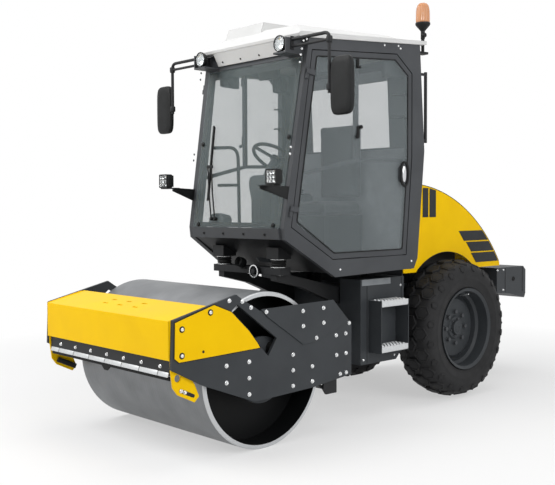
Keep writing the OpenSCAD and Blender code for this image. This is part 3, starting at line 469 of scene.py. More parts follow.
def band(bm, outer, inner, low, high, frame):
    """A flat ring between two outlines that have as many points."""
    count = len(outer)
    levels = [[[bm.verts.new(frame @ Vector((x, y, z))) for x, y in line]
               for line in (outer, inner)] for z in (low, high)]
    for i in range(count):
        j = (i + 1) % count
        (lo, li), (ho, hi) = levels
        for quad in ((lo[i], lo[j], ho[j], ho[i]), (li[j], li[i], hi[i], hi[j]),
                     (ho[i], ho[j], hi[j], hi[i]), (lo[j], lo[i], li[i], li[j])):
            bm.faces.new(quad)


def mirror_y(bm):
    """Adds the same forms on the machine's other side."""
    made = bmesh.ops.duplicate(bm, geom=bm.verts[:] + bm.edges[:] + bm.faces[:])["geom"]
    verts = [v for v in made if isinstance(v, bmesh.types.BMVert)]
    bmesh.ops.scale(bm, verts=verts, vec=(1, -1, 1))
    bmesh.ops.reverse_faces(bm, faces=[f for f in made if isinstance(f, bmesh.types.BMFace)])


def show(name, mesh, material, body):
    """Puts a finished mesh in the scene, on its body, with its finish."""
    mesh.materials.clear()
    mesh.materials.append(material)
    obj = bpy.data.objects.new(name, mesh)
    bpy.context.scene.collection.objects.link(obj)
    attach(obj, body)
    return obj


def piece(name, bm, material, body, both=False, crease=32):
    """Closes a mesh under way, smooths its gentle edges and shows it."""
    bmesh.ops.recalc_face_normals(bm, faces=bm.faces[:])
    if both:
        mirror_y(bm)
    mesh = bpy.data.meshes.new(name)
    bm.to_mesh(mesh)
    bm.free()
    mesh.polygons.foreach_set("use_smooth", [True] * len(mesh.polygons))
    mesh.set_sharp_from_angle(angle=math.radians(crease))
    return show(name, mesh, material, body)


# Repeats: one node tree copies a small piece to every point, turned as the point says.

def repeat_tree():
    tree = bpy.data.node_groups.new("copies_on_points", "GeometryNodeTree")
    face = tree.interface
    face.new_socket("Points", in_out="INPUT", socket_type="NodeSocketGeometry")
    face.new_socket("Piece", in_out="INPUT", socket_type="NodeSocketObject")
    face.new_socket("Finish", in_out="INPUT", socket_type="NodeSocketMaterial")
    face.new_socket("Free turn", in_out="INPUT", socket_type="NodeSocketFloat")
    face.new_socket("Seed", in_out="INPUT", socket_type="NodeSocketInt")
    face.new_socket("Copies", in_out="OUTPUT", socket_type="NodeSocketGeometry")
    given = add(tree, "NodeGroupInput").outputs
    sample = add(tree, "GeometryNodeObjectInfo", {"Object": given["Piece"]})
    turn = add(tree, "GeometryNodeInputNamedAttribute", {"Name": "turn"},
               data_type="FLOAT_VECTOR")
    size = add(tree, "GeometryNodeInputNamedAttribute", {"Name": "size"}, data_type="FLOAT")
    free = add(tree, "FunctionNodeRandomValue",
               {2: 0.0, 3: given["Free turn"], "Seed": given["Seed"]}, data_type="FLOAT")
    about = add(tree, "ShaderNodeCombineXYZ", {"Z": free.outputs[1]})
    whole = add(tree, "FunctionNodeRotateRotation",
                {"Rotation": turn.outputs["Attribute"], "Rotate By": about.outputs["Vector"]},
                rotation_space="LOCAL")
    copies = add(tree, "GeometryNodeInstanceOnPoints",
                 {"Points": given["Points"], "Instance": sample.outputs["Geometry"],
                  "Rotation": whole.outputs["Rotation"], "Scale": size.outputs["Attribute"]})
    solid = add(tree, "GeometryNodeRealizeInstances",
                {"Geometry": copies.outputs["Instances"]})
    finished = add(tree, "GeometryNodeSetMaterial",
                   {"Geometry": solid.outputs["Geometry"], "Material": given["Finish"]})
    add(tree, "NodeGroupOutput", {"Copies": finished.outputs["Geometry"]})
    return tree


COPIES = repeat_tree()


def repeat(name, sample, places, material, body, free_turn=0.0, seed=1):
    """Copies of one small form at many frames, as one mesh on one body."""
    bmesh.ops.recalc_face_normals(sample, faces=sample.faces[:])
    form = bpy.data.meshes.new(name + "_form")
    sample.to_mesh(form)
    sample.free()
    pattern = bpy.data.objects.new(name + "_form", form)
    bpy.context.scene.collection.objects.link(pattern)
    points = bpy.data.meshes.new(name + "_points")
    points.from_pydata([m.translation for m, size in places], [], [])
    points.attributes.new("turn", "FLOAT_VECTOR", "POINT")
    points.attributes.new("size", "FLOAT", "POINT")
    for i, (m, scale) in enumerate(places):
        points.attributes["turn"].data[i].vector = m.to_euler()
        points.attributes["size"].data[i].value = scale
    holder = bpy.data.objects.new(name + "_points", points)
    bpy.context.scene.collection.objects.link(holder)
    modifier = holder.modifiers.new("copies", "NODES")
    modifier.node_group = COPIES
    values = {"Piece": pattern, "Finish": material, "Free turn": free_turn, "Seed": seed}
    for item in COPIES.interface.items_tree:
        if item.in_out == "INPUT" and item.name in values:
            modifier[item.identifier] = values[item.name]
    bpy.context.view_layer.update()
    deps = bpy.context.evaluated_depsgraph_get()
    mesh = bpy.data.meshes.new_from_object(holder.evaluated_get(deps))
    bpy.data.objects.remove(holder, do_unlink=True)
    bpy.data.objects.remove(pattern, do_unlink=True)
    mesh.name = name
    mesh.polygons.foreach_set("use_smooth", [True] * len(mesh.polygons))
    mesh.set_sharp_from_angle(angle=math.radians(32))
    return show(name, mesh, material, body)


def hex_bolt(width=0.018, height=0.009, washer=0.014):
    """A bolt head on its washer: six flats with a turned crown."""
    bm = bmesh.new()
    up = Matrix.Identity(4)
    lathe(bm, [(0, 0), (washer, 0), (washer, 0.0015), (washer - 0.001, 0.0025), (0, 0.0025)],
          up, 20)
    half = width / math.sqrt(3)
    corners = [(half * math.cos(math.radians(60 * i)), half * math.sin(math.radians(60 * i)))
               for i in range(6)]
    plate(bm, corners, 0.002, height, up, 0.0012)
    return bm


def round_bolt(radius=0.010, height=0.006):
    """A domed screw head with a socket in its crown."""
    bm = bmesh.new()
    lathe(bm, [(0, 0), (radius, 0), (radius, 0.0012), (radius * 0.86, height * 0.7),
               (radius * 0.6, height), (radius * 0.38, height), (radius * 0.34, height * 0.5),
               (0, height * 0.5)], Matrix.Identity(4), 16)
    return bm


def at(x, y, z, face="left"):
    """A frame on a face of the machine that looks left, right, forward, back or up."""
    spans = {"left": ((-1, 0, 0), (0, 0, 1)), "right": ((1, 0, 0), (0, 0, 1)),
             "front": ((0, 1, 0), (0, 0, 1)), "back": ((0, -1, 0), (0, 0, 1)),
             "up": ((1, 0, 0), (0, 1, 0)), "down": ((1, 0, 0), (0, -1, 0))}
    return plane((x, y, z), *spans[face])


def pair(x, y, z, face, scale=1.0):
    """The same point on both sides of the machine."""
    other = {"left": "right"}.get(face, face)
    return [(at(x, y, z, face), scale), (at(x, -y, z, other), scale)]


# Front frame, on the drum's side of the articulation. X is measured from the drum axle.

AXLE = 1.31
PLATE_Y, COVER_Y, PANEL_Y = 0.720, 0.728, 0.724

plate_bolts = [(.337, .565), (.337, .463), (.158, .568), (.158, .468), (.158, .368),
               (-.213, .568), (-.213, .468), (-.213, .367), (-.387, .472), (-.387, .373),
               (-.614, .651), (-.708, .654), (-.617, .518), (-.710, .521), (-.653, .386),
               (-.712, .389), (-.742, .722), (.312, .952), (.210, .940), (.141, .898)]
cover_bolts = [(-.296, .841), (-.485, .846), (-.298, .744), (-.487, .748), (-.419, .655),
               (.022, .862)]
panel_bolts = [(.459, .895), (.665, .815), (.667, .664)]
places = []
for spots, y in ((plate_bolts, PLATE_Y), (cover_bolts, COVER_Y)):
    for x, z in spots:
        places += pair(AXLE + x, y, z, "left")
repeat("front_plate_bolts", hex_bolt(), places, zinc_bolt, "front", 1.0, 3)

places = []
for x, z in panel_bolts:
    places += pair(AXLE + x, PANEL_Y + 0.0015, z, "left")
repeat("side_panel_screws", round_bolt(0.012, 0.008), places, zinc_bolt, "front",
       6.28, 4)

washer = bmesh.new()
lathe(washer, [(0.0, 0.0), (0.019, 0.0), (0.019, 0.0015), (0.017, 0.003), (0.0, 0.003)],
      Matrix.Identity(4), 24)
places = []
for x, z in panel_bolts:
    places += pair(AXLE + x, PANEL_Y, z, "left")
places += pair(AXLE + .513, PANEL_Y, .671, "left", 0.45)
# Painted shade: two small black discs on the beam's front face stand for the dark inside two
# holes.
places += [(at(AXLE + .7381, y, .808, "front"), 0.6) for y in (-.065, .134)]
repeat("panel_washers", washer, places, rubber, "front")

# A narrow black seal follows the edge of each yellow side panel.
panel_outline = [(.071, .645), (.687, .628), (.718, .653), (.713, .856), (.430, .936),
                 (.299, .884), (.159, .756), (.087, .670)]
bm = bmesh.new()
turned = [(-x, z) for x, z in reversed(panel_outline)]
left_plate = at(AXLE, PLATE_Y, 0, "left")
band(bm, moved_in(turned, -0.0045), moved_in(turned, -0.0004), 0.0, 0.003, left_plate)
piece("side_panel_seals", bm, rubber, "front", both=True)

# Front scraper: a silver wear strip in segments, a black lip under it with a tab.
segment = bmesh.new()
block(segment, (0.184, 0.028, 0.005), Matrix.Identity(4), 0.0012, 2)
lean = plane((0, 0, 0), (0, 1, 0), (-0.35, 0, 1))
places = [(Matrix.Translation((AXLE + .7265, -.475 + .19 * i, .5545)) @ lean, 1.0)
          for i in range(6)]
repeat("scraper_strip", segment, places, zinc, "front")
bm = bmesh.new()
for y in (-.623, .623):
    block(bm, (.100, .028, .005), Matrix.Translation((AXLE + .7265, y, .5545)) @ lean, .0012, 2)
piece("scraper_strip_ends", bm, zinc, "front")
repeat("scraper_bolts", hex_bolt(0.017, 0.008, 0.012),
       [(at(AXLE + .722, -.55 + .19 * i, .596, "front"), 1.0) for i in range(7)],
       zinc_bolt, "front", 1.0, 5)
bm = bmesh.new()
lip = [(-.672, .543), (-.672, .520), (-.050, .520), (-.018, .494), (.018, .494), (.050, .520),
       (.672, .520), (.672, .543)]
plate(bm, lip, 0.0, 0.008, plane((AXLE + .7125, 0, 0), (0, 1, 0), (0, 0, 1)), 0.002)
piece("scraper_lip", bm, rubber, "front")

# Each end bracket has a long slot with two clamp bolts, and a dark clamp inside.
bm = bmesh.new()
slot_frame = plane((AXLE + .612, .700, .437), (-1, 0, -.46), (-.46, 0, 1))
slot_ring = [(p.x, p.y) for p in oval(Matrix.Identity(4), .055, .0105, 6.0, 28)]
plate(bm, slot_ring, 0.0, 0.0022, slot_frame, 0.0008)
block(bm, (.150, .034, .020), slot_frame @ Matrix.Translation((0, 0.004, -0.0235)), 0.004)
piece("bracket_slots", bm, coat_black, "front", both=True)
places = []
for x, z in ((.659, .459), (.633, .447)):
    places += pair(AXLE + x, .7022, z, "left")
repeat("bracket_bolts", hex_bolt(0.016, 0.010, 0.0115), places, zinc_bolt, "front",
       1.0, 6)

# Folded yellow flanges frame the beam's ends, as sheet metal does.
bm = bmesh.new()
flange = [(-.740, .648), (-.728, .648), (-.728, .8575), (-.475, .918), (-.475, .931),
          (-.740, .868)]
plate(bm, flange, -0.0035, -0.0002, at(AXLE, .700, 0, "left"), 0.0008)
piece("beam_end_flanges", bm, enamel_yellow, "front", both=True)


# Wheels. The tyres get finer blocks on the same spots as the solid tread.

REAR, WHEEL_Z, TYRE_R, TRACK = -0.83, 0.545, 0.545, 0.55

carcass = [(.3106, -.133), (.318, -.141), (.330, -.1475), (.336, -.1515), (.342, -.1505),
           (.352, -.1555), (.390, -.1612), (.396, -.1636), (.402, -.1622), (.430, -.1648),
           (.462, -.1625), (.484, -.156), (.503, -.137), (.513, -.118), (.519, -.095),
           (.523, -.060), (.525, -.020)]
carcass = carcass + [(r, -y) for r, y in reversed(carcass)]
BLOCK_ROWS = ((-.1615, 0.5, -66.0, .4810, .5), (-.092, 0.0, -16.0, .5255, 1.0),
              (0.0, 0.5, 0.0, .5415, 1.0), (.092, 0.0, 16.0, .5255, 1.0),
              (.1615, 0.5, 66.0, .4810, .5))


def tread_block():
    """A six-sided block with a groove that follows its edge."""
    bm = bmesh.new()
    rings = []
    for radius, height in ((.0625, -.018), (.0600, -.003), (.0570, 0.0), (.0490, 0.0),
                           (.0470, -.0035), (.0440, -.0035), (.0420, 0.0), (.0250, .0006)):
        rings.append([Vector((radius * math.cos(math.radians(60 * i)),
                              radius * math.sin(math.radians(60 * i)), height))
                      for i in range(6)])
    loft(bm, rings)
    return bm


for side, label in ((1, "left"), (-1, "right")):
    centre = Matrix.Translation((REAR, side * TRACK, WHEEL_Z))
    turned = centre @ Matrix.Rotation(math.radians(90), 4, "X")
    bm = bmesh.new()
    lathe(bm, carcass, turned, 96, closed=True)
    tyre = piece("tyre_carcass_" + label, bm, tyre_rubber, "wheel_" + label, crease=50)
    places = []
    for row, shift, tilt, height, scale in BLOCK_ROWS:
        for i in range(20):
            turn = Matrix.Rotation(math.radians((i + shift) * 18), 4, "Z")
            spot = Matrix.Translation((height, 0, row))
            lean = Matrix.Rotation(math.radians(90 - tilt), 4, "Y")
            places.append((turned @ turn @ spot @ lean, scale))
    blocks = repeat("tyre_blocks_" + label, tread_block(), places, tyre_rubber,
                    "wheel_" + label)
    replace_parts(tyre, "tyre_" + label)
    out = plane((REAR, side * TRACK, WHEEL_Z), (-side, 0, 0), (0, 0, 1))
    nuts = [(out @ Matrix.Rotation(math.radians(45 * i), 4, "Z")
             @ Matrix.Translation((.125, 0, .030)), 1.25) for i in range(8)]
    caps = [(out @ Matrix.Rotation(math.radians(60 * i + 12), 4, "Z")
             @ Matrix.Translation((.070, 0, .044)), 0.55) for i in range(6)]
    # Painted light: the nuts and the hub cap's bolts take the lit copy of the dark coat.
    repeat("wheel_nuts_" + label, hex_bolt(.024, .018, .015), nuts + caps, coat_dark_lit_copy,
           "wheel_" + label, 1.0, 7)
    bm = bmesh.new()
    lathe(bm, [(0, .043), (.054, .043), (.054, .049), (.048, .062), (.034, .070), (.012, .072),
               (.010, .069), (0, .069)], out, 40)
    piece("hub_cap_" + label, bm, coat_dark, "wheel_" + label)
    bm = bmesh.new()
    stem = out @ Matrix.Rotation(math.radians(75), 4, "Z")
    tube(bm, bend([stem @ Vector((.262, 0, .030)), stem @ Vector((.262, 0, .075)),
                   stem @ Vector((.274, 0, .100))], .012), .0045, 10)
    lathe(bm, [(0, 0), (.0065, 0), (.0065, .014), (.005, .018), (0, .018)],
          stem @ Matrix.Translation((.274, 0, .098)), 12)
    piece("valve_" + label, bm, zinc_bolt, "wheel_" + label)


# Cab. Its left wall leans outwards to the rear; this frame measures back along it and up.

TAPER = math.radians(9.26)
CAB_X = 0.81
wall = plane((CAB_X, .540, 0), (-math.cos(TAPER), math.sin(TAPER), 0), (0, 0, 1))


def on_wall(s, z, out=0.0):
    """A frame on the left wall: distance back, height and distance out, in metres."""
    return wall @ Matrix.Translation((s, z, out))


def mirrored(frames):
    """The frames and their mirror images on the right side."""
    flip = Matrix.Diagonal((1, -1, 1, 1))
    undo = Matrix.Diagonal((-1, 1, 1, 1))
    return [(m, s) for m, s in frames] + [(flip @ m @ undo, s) for m, s in frames]


wall_bolts = [(-.118, 1.86), (-.111, 1.905), (-.006, 2.615), (.020, 2.628), (-.020, 2.56),
              (-.028, 2.52), (-.036, 2.47), (.700, 2.655), (.830, 2.662), (.850, 2.645),
              (.30, 1.075), (.96, 1.11)]
repeat("cab_wall_bolts", round_bolt(.0085, .005),
       mirrored([(on_wall(s, z), 1.0) for s, z in wall_bolts]), zinc_bolt, "rear",
       6.28, 8)
repeat("cab_skirt_bolts", round_bolt(.009, .005),
       [(plane((CAB_X + .1755, y, 1.323), (0, 1, 0), (.157, 0, 1)), 1.0)
        for y in (-.33, -.11, .11, .33)], abs_black, "rear", 6.28, 9)

# Windscreen: black printed border on the inside, clamped at its foot by two screws.
screen_up = Vector((-.185, 0, 1.154)).normalized()
screen = plane((CAB_X + .168, 0, 1.366), (0, 1, 0), screen_up)
outer = [(-.462, .004), (.462, .004), (.4915, 1.160), (-.4915, 1.160)]
inner = [(-.428, .038), (.428, .038), (.455, 1.105), (-.455, 1.105)]
bm = bmesh.new()
band(bm, rounded(outer, .012, 5), rounded(inner, .050, 5), -.0092, -.0074, screen)
piece("windscreen_border", bm, abs_black, "rear")
bm = bmesh.new()
for y, up in ((-.405, .020), (.405, .020), (-.462, .62), (.462, .62)):
    lathe(bm, [(0, 0), (.016, 0), (.016, .004), (.012, .009), (.005, .011), (0, .011)],
          screen @ Matrix.Translation((y, up, .0004)), 20)
piece("windscreen_clamps", bm, abs_black, "rear")

# Wiper: twin arms from a pivot at the foot, the blade nearly upright.
bm = bmesh.new()
foot_a, foot_b = screen @ Vector((-.245, .060, .016)), screen @ Vector((-.205, .060, .016))
head_a, head_b = screen @ Vector((-.345, .440, .022)), screen @ Vector((-.305, .440, .022))
for a, b in ((foot_a, head_a), (foot_b, head_b)):
    tube(bm, [a, a.lerp(b, .5) + Vector((.006, 0, 0)), b], .0055, 10)
    lathe(bm, [(0, -.014), (.013, -.014), (.013, .004), (.009, .008), (0, .008)],
          Matrix.Translation(a - screen.translation) @ screen, 16)
block(bm, (.065, .024, .012), screen @ Matrix.Translation((-.325, .442, .020)), .004)
block(bm, (.014, .560, .010), screen @ Matrix.Translation((-.325, .470, .0165))
      @ Matrix.Rotation(math.radians(3), 4, "Z"), .003)
block(bm, (.004, .550, .012), screen @ Matrix.Translation((-.325, .470, .0072))
      @ Matrix.Rotation(math.radians(3), 4, "Z"), .001, 2)
piece("wiper", bm, abs_black, "rear")
bm = bmesh.new()
loft(bm, [oval(screen @ Matrix.Translation((-.225, .055, z)), w, h, 3.2)
          for z, w, h in ((-.100, .075, .040), (-.085, .085, .050), (-.030, .085, .052),
                          (-.014, .078, .046))])
piece("wiper_motor_cover", bm, lining_dark, "rear")

# Roof: a white face under the visor's lip, an air unit on the crown, and screws along the visor.
bm = bmesh.new()
visor = [(.0490, 2.6425), (.0330, 2.6425), (-.0265, 2.6385), (-.0165, 2.5540), (-.0030, 2.5500)]
plate(bm, visor, -.3665, .3665, plane((CAB_X, 0, 0), (1, 0, 0), (0, 0, 1)))
piece("roof_visor_face", bm, roof_white, "rear")
bm = bmesh.new()
hump = [(.722, 2.752), (.694, 2.836), (.330, 2.846), (.210, 2.790), (.210, 2.752)]
plate(bm, hump[::-1], -.010, .395, plane((0, 0, 0), (1, 0, 0), (0, 0, 1)), .012)
piece("roof_air_unit", bm, roof_white, "rear")
face = plane((CAB_X + .0110, 0, 2.5750), (0, 1, 0), (.052, 0, .0925))
repeat("visor_screws", round_bolt(.0085, .005),
       [(face @ Matrix.Translation((y, 0, .0002)), .9) for y in (-.30, -.10, .10, .30)],
       abs_black, "rear", 6.28, 10)


def lamp_parts(name, frame_at, radius, depth):
    """A round lamp: black bowl with a bezel, a dished reflector and a domed lens."""
    bm = bmesh.new()
    lathe(bm, [(0, 0), (radius * .55, 0), (radius * .80, depth * .18), (radius * .92, depth * .5),
               (radius * .95, depth * .74), (radius, depth * .78), (radius, depth * .97),
               (radius * .97, depth), (radius * .88, depth), (radius * .86, depth * .90),
               (radius * .80, depth * .60), (radius * .45, depth * .25), (0, depth * .22)],
          frame_at, 40)
    body = piece(name + "_bowls", bm, abs_black, "rear", both=True)
    bm = bmesh.new()
    lathe(bm, [(0, depth * .26), (radius * .40, depth * .30), (radius * .70, depth * .52),
               (radius * .855, depth * .86), (radius * .835, depth * .86),
               (radius * .68, depth * .56), (radius * .38, depth * .36), (0, depth * .34)],
          frame_at, 40)
    lathe(bm, [(0, depth * .35), (radius * .16, depth * .36), (radius * .16, depth * .6),
               (radius * .10, depth * .68), (0, depth * .70)], frame_at, 20)
    piece(name + "_reflectors", bm, reflector, "rear", both=True)
    bm = bmesh.new()
    lathe(bm, [(0, depth * .90), (radius * .85, depth * .88), (radius * .855, depth * .93),
               (radius * .5, depth * .985), (0, depth)], frame_at, 40)
    piece(name + "_lenses", bm, lens, "rear", both=True)
    return body


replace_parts(lamp_parts("head_lamp", at(.886, .426, 2.597, "front"), .055, .050), "head_lamps")

# Work lamps: finned square housing on its bracket, white lamp cells behind a clear plate.
lamp = at(1.127, .586, 1.703, "front")
bm = bmesh.new()
block(bm, (.100, .100, .046), lamp @ Matrix.Translation((0, 0, .005)), .010, 4)
for i in range(7):
    block(bm, (.005, .084, .026), lamp @ Matrix.Translation((-.036 + .012 * i, 0, -.021)),
          .0015, 2)
band(bm, rounded([(-.050, -.050), (.050, -.050), (.050, .050), (-.050, .050)], .010),
     rounded([(-.042, -.042), (.042, -.042), (.042, .042), (-.042, .042)], .006),
     .0245, .0345, lamp)
strip = [(-.1385, 1.560), (-.1245, 1.645), (-.350, 1.653), (-.350, 1.628)]
plate(bm, [strip[i] for i in (0, 3, 2, 1)], -.014, -.002, wall, .001)
plate(bm, [(1.100, .466), (1.160, .466), (1.160, .616), (1.100, .616)], 1.645, 1.653,
      Matrix.Identity(4), .001)
work = piece("work_lamp_housings", bm, abs_black, "rear", both=True)
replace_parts(work, "work_lamps")
bm = bmesh.new()
for i in range(3):
    for j in range(3):
        spot = lamp @ Matrix.Translation((-.027 + .027 * i, -.027 + .027 * j, .028))
        lathe(bm, [(0, -.004), (.0125, -.004), (.0125, .004), (.011, .004), (.004, -.002),
                   (0, -.001)], spot, 16)
piece("work_lamp_cells", bm, reflector, "rear", both=True)
bm = bmesh.new()
block(bm, (.0835, .0835, .003), lamp @ Matrix.Translation((0, 0, .0332)), .001, 2)
piece("work_lamp_lenses", bm, lens, "rear", both=True)

# Mirrors: rounded shells with silvered glass at the back, on looped arms.
MIRROR = (.882, .945, 2.273)
bm = bmesh.new()
shell = plane(MIRROR, (0, 1, 0), (0, 0, 1))
loft(bm, [oval(shell @ Matrix.Translation((0, 0, z)), w, h, 5.0, 48)
          for z, w, h in ((-.020, .0900, .1820), (-.012, .0935, .1850), (.002, .0930, .1845),
                          (.012, .0860, .1780), (.0185, .0700, .1620), (.020, .0500, .1420))])
shells = piece("mirror_shells", bm, abs_black, "rear", both=True)
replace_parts(shells, "mirrors")
bm = bmesh.new()
loft(bm, [oval(shell @ Matrix.Translation((0, 0, z)), w, h, 5.0, 48)
          for z, w, h in ((-.0196, .0840, .1760), (-.0204, .0840, .1760),
                          (-.0207, .0825, .1745))])
piece("mirror_glasses", bm, silvered, "rear", both=True)
bm = bmesh.new()
arm_y = .8392
tube(bm, bend([(.882, .4955, 2.620), (.882, arm_y, 2.620), (.882, arm_y, 2.234)], .045, 8),
     .0115)
tube(bm, bend([(.882, .4955, 2.574), (.882, arm_y, 2.574)], .01), .0095)
for y, z in ((arm_y, 2.273), (arm_y, 2.574)):
    lathe(bm, [(0, -.020), (.0185, -.020), (.0205, -.012), (.0205, .012), (.0185, .020),
               (0, .020)], Matrix.Translation((.882, y, z)), 20)
tube(bm, [(.882, arm_y, 2.273), (.882, .866, 2.273)], .009)
block(bm, (.030, .006, .090), Matrix.Translation((.882, .4985, 2.597)), .002)
arms = piece("mirror_loops", bm, coat_black, "rear", both=True)
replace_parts(arms, "mirror_arms")

# Beacon: ribbed amber dome over a plated bowl, on a cup, a swivel and a pin.
beacon = Matrix.Translation((-.31, .66, 2.8703))
bm = bmesh.new()
ribs = 24
rings = []
for radius, height in ((.0485, 0.0), (.0515, .004), (.0518, .030), (.0500, .085),
                       (.0470, .108), (.0400, .128), (.0280, .141), (.0120, .1465)):
    rings.append([beacon @ Vector((
        (radius - (.0014 if i % 2 else 0.0)) * math.cos(math.pi * i / ribs),
        (radius - (.0014 if i % 2 else 0.0)) * math.sin(math.pi * i / ribs), height))
        for i in range(2 * ribs)])
loft(bm, rings)
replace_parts(piece("beacon_glass", bm, amber, "rear", crease=12), "beacon_dome")
bm = bmesh.new()
lathe(bm, [(0, .002), (.034, .002), (.036, .012), (.020, .020), (.016, .050), (.021, .060),
           (.012, .074), (0, .076)], beacon, 32)
piece("beacon_bowl", bm, reflector, "rear")
bm = bmesh.new()
lathe(bm, [(0, -.0003), (.0535, -.0003), (.055, -.004), (.055, -.014), (.050, -.022),
           (.030, -.045), (.0155, -.062), (.0155, -.118), (.012, -.124), (.012, -.236),
           (0, -.236)], beacon, 36)
lathe(bm, [(0, -.012), (.016, -.012), (.018, -.004), (.018, .016), (0, .016)],
      beacon @ Matrix.Translation((0, .012, -.092)) @ Matrix.Rotation(1.5708, 4, "X"), 20)
foot = [(1.0438, 2.634), (1.142, 2.634), (1.142, 2.650), (1.0428, 2.650)]
plate(bm, foot, -.080, -.020, wall, .001)
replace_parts(piece("beacon_foot", bm, abs_black, "rear"), "beacon_base")

# Doors: seal round the pane, oval pull with a bright grip, window catches and hinges.
pane_line = [(-.0640, 1.4100), (.2500, 1.1900), (.8700, 1.2010), (.9220, 1.8740),
             (.9220, 2.4580), (.8010, 2.5610), (.1035, 2.5240)]
for side, label in ((1, "left"), (-1, "right")):
    body = "door_" + label
    flip = Matrix.Diagonal((1, side, 1, 1))
    bm = bmesh.new()
    band(bm, rounded(moved_in(pane_line, -.0035), .020), rounded(moved_in(pane_line, .0045), .016),
         -.0018, .0012, wall)
    block(bm, (.022, .060, .020), on_wall(.455, 2.505, -.002), .004)
    block(bm, (.034, .016, .016), on_wall(.462, 2.480, .004), .004)
    block(bm, (.022, .080, .020), on_wall(.458, 2.030, -.002), .004)
    for z in (1.995, 2.065):
        lathe(bm, [(0, 0), (.012, 0), (.014, .006), (.012, .014), (0, .016)],
              on_wall(.458 + (z - 2.03) * .5, z, .006), 16)
    for z in (2.16, 2.32):
        block(bm, (.020, .034, .018), on_wall(.905, z, -.024), .004)
        tube(bm, bend([wall @ Vector((.900, z, -.036)), wall @ Vector((.870, z, -.052)),
                       wall @ Vector((.800, z - .006, -.052))], .012), .0065, 10)
    bmesh.ops.recalc_face_normals(bm, faces=bm.faces[:])
    if side < 0:
        bmesh.ops.transform(bm, matrix=flip, verts=bm.verts[:])
        bmesh.ops.reverse_faces(bm, faces=bm.faces[:])
    piece("door_seal_" + label, bm, rubber, body)

    bm = bmesh.new()
    grip = on_wall(.871, 1.745, .0183)
    band(bm, [(p.x, p.y) for p in oval(Matrix.Identity(4), .0430, .0930, 2.2, 40)],
         [(p.x, p.y) for p in oval(Matrix.Identity(4), .0270, .0770, 2.2, 40)],
         0.0, .0085, grip)
    if side < 0:
        bmesh.ops.transform(bm, matrix=flip, verts=bm.verts[:])
    piece("door_pull_ring_" + label, bm, abs_black, body)
    bm = bmesh.new()
    loft(bm, [oval(grip @ Matrix.Translation((0, 0, z)), w, h, 2.4, 32)
              for z, w, h in ((-.0006, .019, .060), (.004, .0175, .058), (.007, .012, .050))])
    if side < 0:
        bmesh.ops.transform(bm, matrix=flip, verts=bm.verts[:])
    piece("door_pull_grip_" + label, bm, chrome, body)


# Inside the cab: column, side console, lining and small controls.

bm = bmesh.new()
loft(bm, [oval(Matrix.Translation((CAB_X + x, 0, z)), w, h, 3.4, 40) for x, z, w, h in
          ((-.200, 1.109, .075, .100), (-.190, 1.130, .085, .106), (-.150, 1.200, .085, .104),
           (-.105, 1.262, .060, .080), (-.096, 1.420, .052, .066), (-.095, 1.560, .053, .072),
           (-.096, 1.640, .055, .098), (-.100, 1.690, .056, .108), (-.106, 1.725, .050, .106),
           (-.112, 1.7395, .034, .088))])
for i in range(3):
    y = -.045 + .045 * i
    tube(bm, [(CAB_X - .048, y, 1.300), (CAB_X - .0445, y, 1.430), (CAB_X - .044, y, 1.560)],
         .0042, 8)
tilt = Matrix.Translation((.57, 0, 1.86)) @ Matrix.Rotation(math.radians(-35), 4, "Y")
lathe(bm, [(0, -.260), (.030, -.260), (.030, -.140), (.034, -.130), (.034, -.050),
           (.030, -.040), (.030, -.0145), (0, -.0145)], tilt, 32)
tube(bm, bend([tilt @ Vector((0, .030, -.080)), tilt @ Vector((.01, .075, -.076)),
               tilt @ Vector((.02, .120, -.060))], .02), .0055, 10)
block(bm, (.420, .120, .500), Matrix.Translation((.080, -.360, 1.3583)), .022, 4)
block(bm, (.300, .104, .050), Matrix.Translation((.120, -.360, 1.634)), .018, 4)
column = piece("column_and_console", bm, lining_dark, "rear")
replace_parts(column, "console")

bm = bmesh.new()
joystick = Matrix.Translation((.235, -.360, 1.612))
lathe(bm, [(0, 0), (.032, 0), (.028, .012), (.016, .026), (.010, .030), (.009, .070),
           (.017, .080), (.020, .110), (.015, .138), (0, .142)], joystick, 24)
for i in range(5):
    block(bm, (.020, .014, .012), Matrix.Translation((-.090 + .026 * i, -.322, 1.6135)), .003)
block(bm, (.012, .120, .075), Matrix.Translation((CAB_X - .170, 0, 1.700))
      @ Matrix.Rotation(math.radians(-25), 4, "Y"), .005)
piece("cab_controls", bm, abs_black, "rear")

bm = bmesh.new()
head_line = [(.748, -.494), (.748, .494), (-.150, .640), (-.150, -.640)]
plate(bm, head_line, 2.603, 2.618, Matrix.Identity(4), .004)
rear_panel = plane((CAB_X - .9605, 0, 1.114), (0, 1, 0), (-.066, 0, .810))
plate(bm, rounded([(-.630, 0), (.630, 0), (.642, .835), (-.642, .835)], .03), 0.0, .012,
      rear_panel, .004)
upper = plane((CAB_X - 1.016, 0, 2.460), (0, 1, 0), (.042, 0, .772))
plate(bm, rounded([(-.630, 0), (.630, 0), (.630, .135), (-.630, .135)], .02), .002, .014,
      upper, .004)
piece("cab_lining", bm, lining, "rear")

bm = bmesh.new()
for s, z in ((.850, 2.520), (.200, 2.500)):
    box = on_wall(s, z, -.086)
    block(bm, (.190, .150, .050), box, .016, 4)
piece("speaker_boxes", bm, lining_dark, "rear", both=True)
ring = bmesh.new()
lathe(ring, [(0, 0), (.060, 0), (.060, .004), (.055, .006), (.050, .002), (0, .002)],
      Matrix.Identity(4), 32)
for i in range(4):
    lathe(ring, [(.010 + .011 * i, .002), (.016 + .011 * i, .002), (.013 + .011 * i, .0048)],
          Matrix.Identity(4), 32, closed=True)
places = []
for s, z in ((.850, 2.515), (.200, 2.495)):
    places.append((on_wall(s, z, -.1112) @ Matrix.Rotation(math.pi, 4, "Y"), 1.0))
repeat("speaker_grilles", ring, mirrored(places), abs_black, "rear")

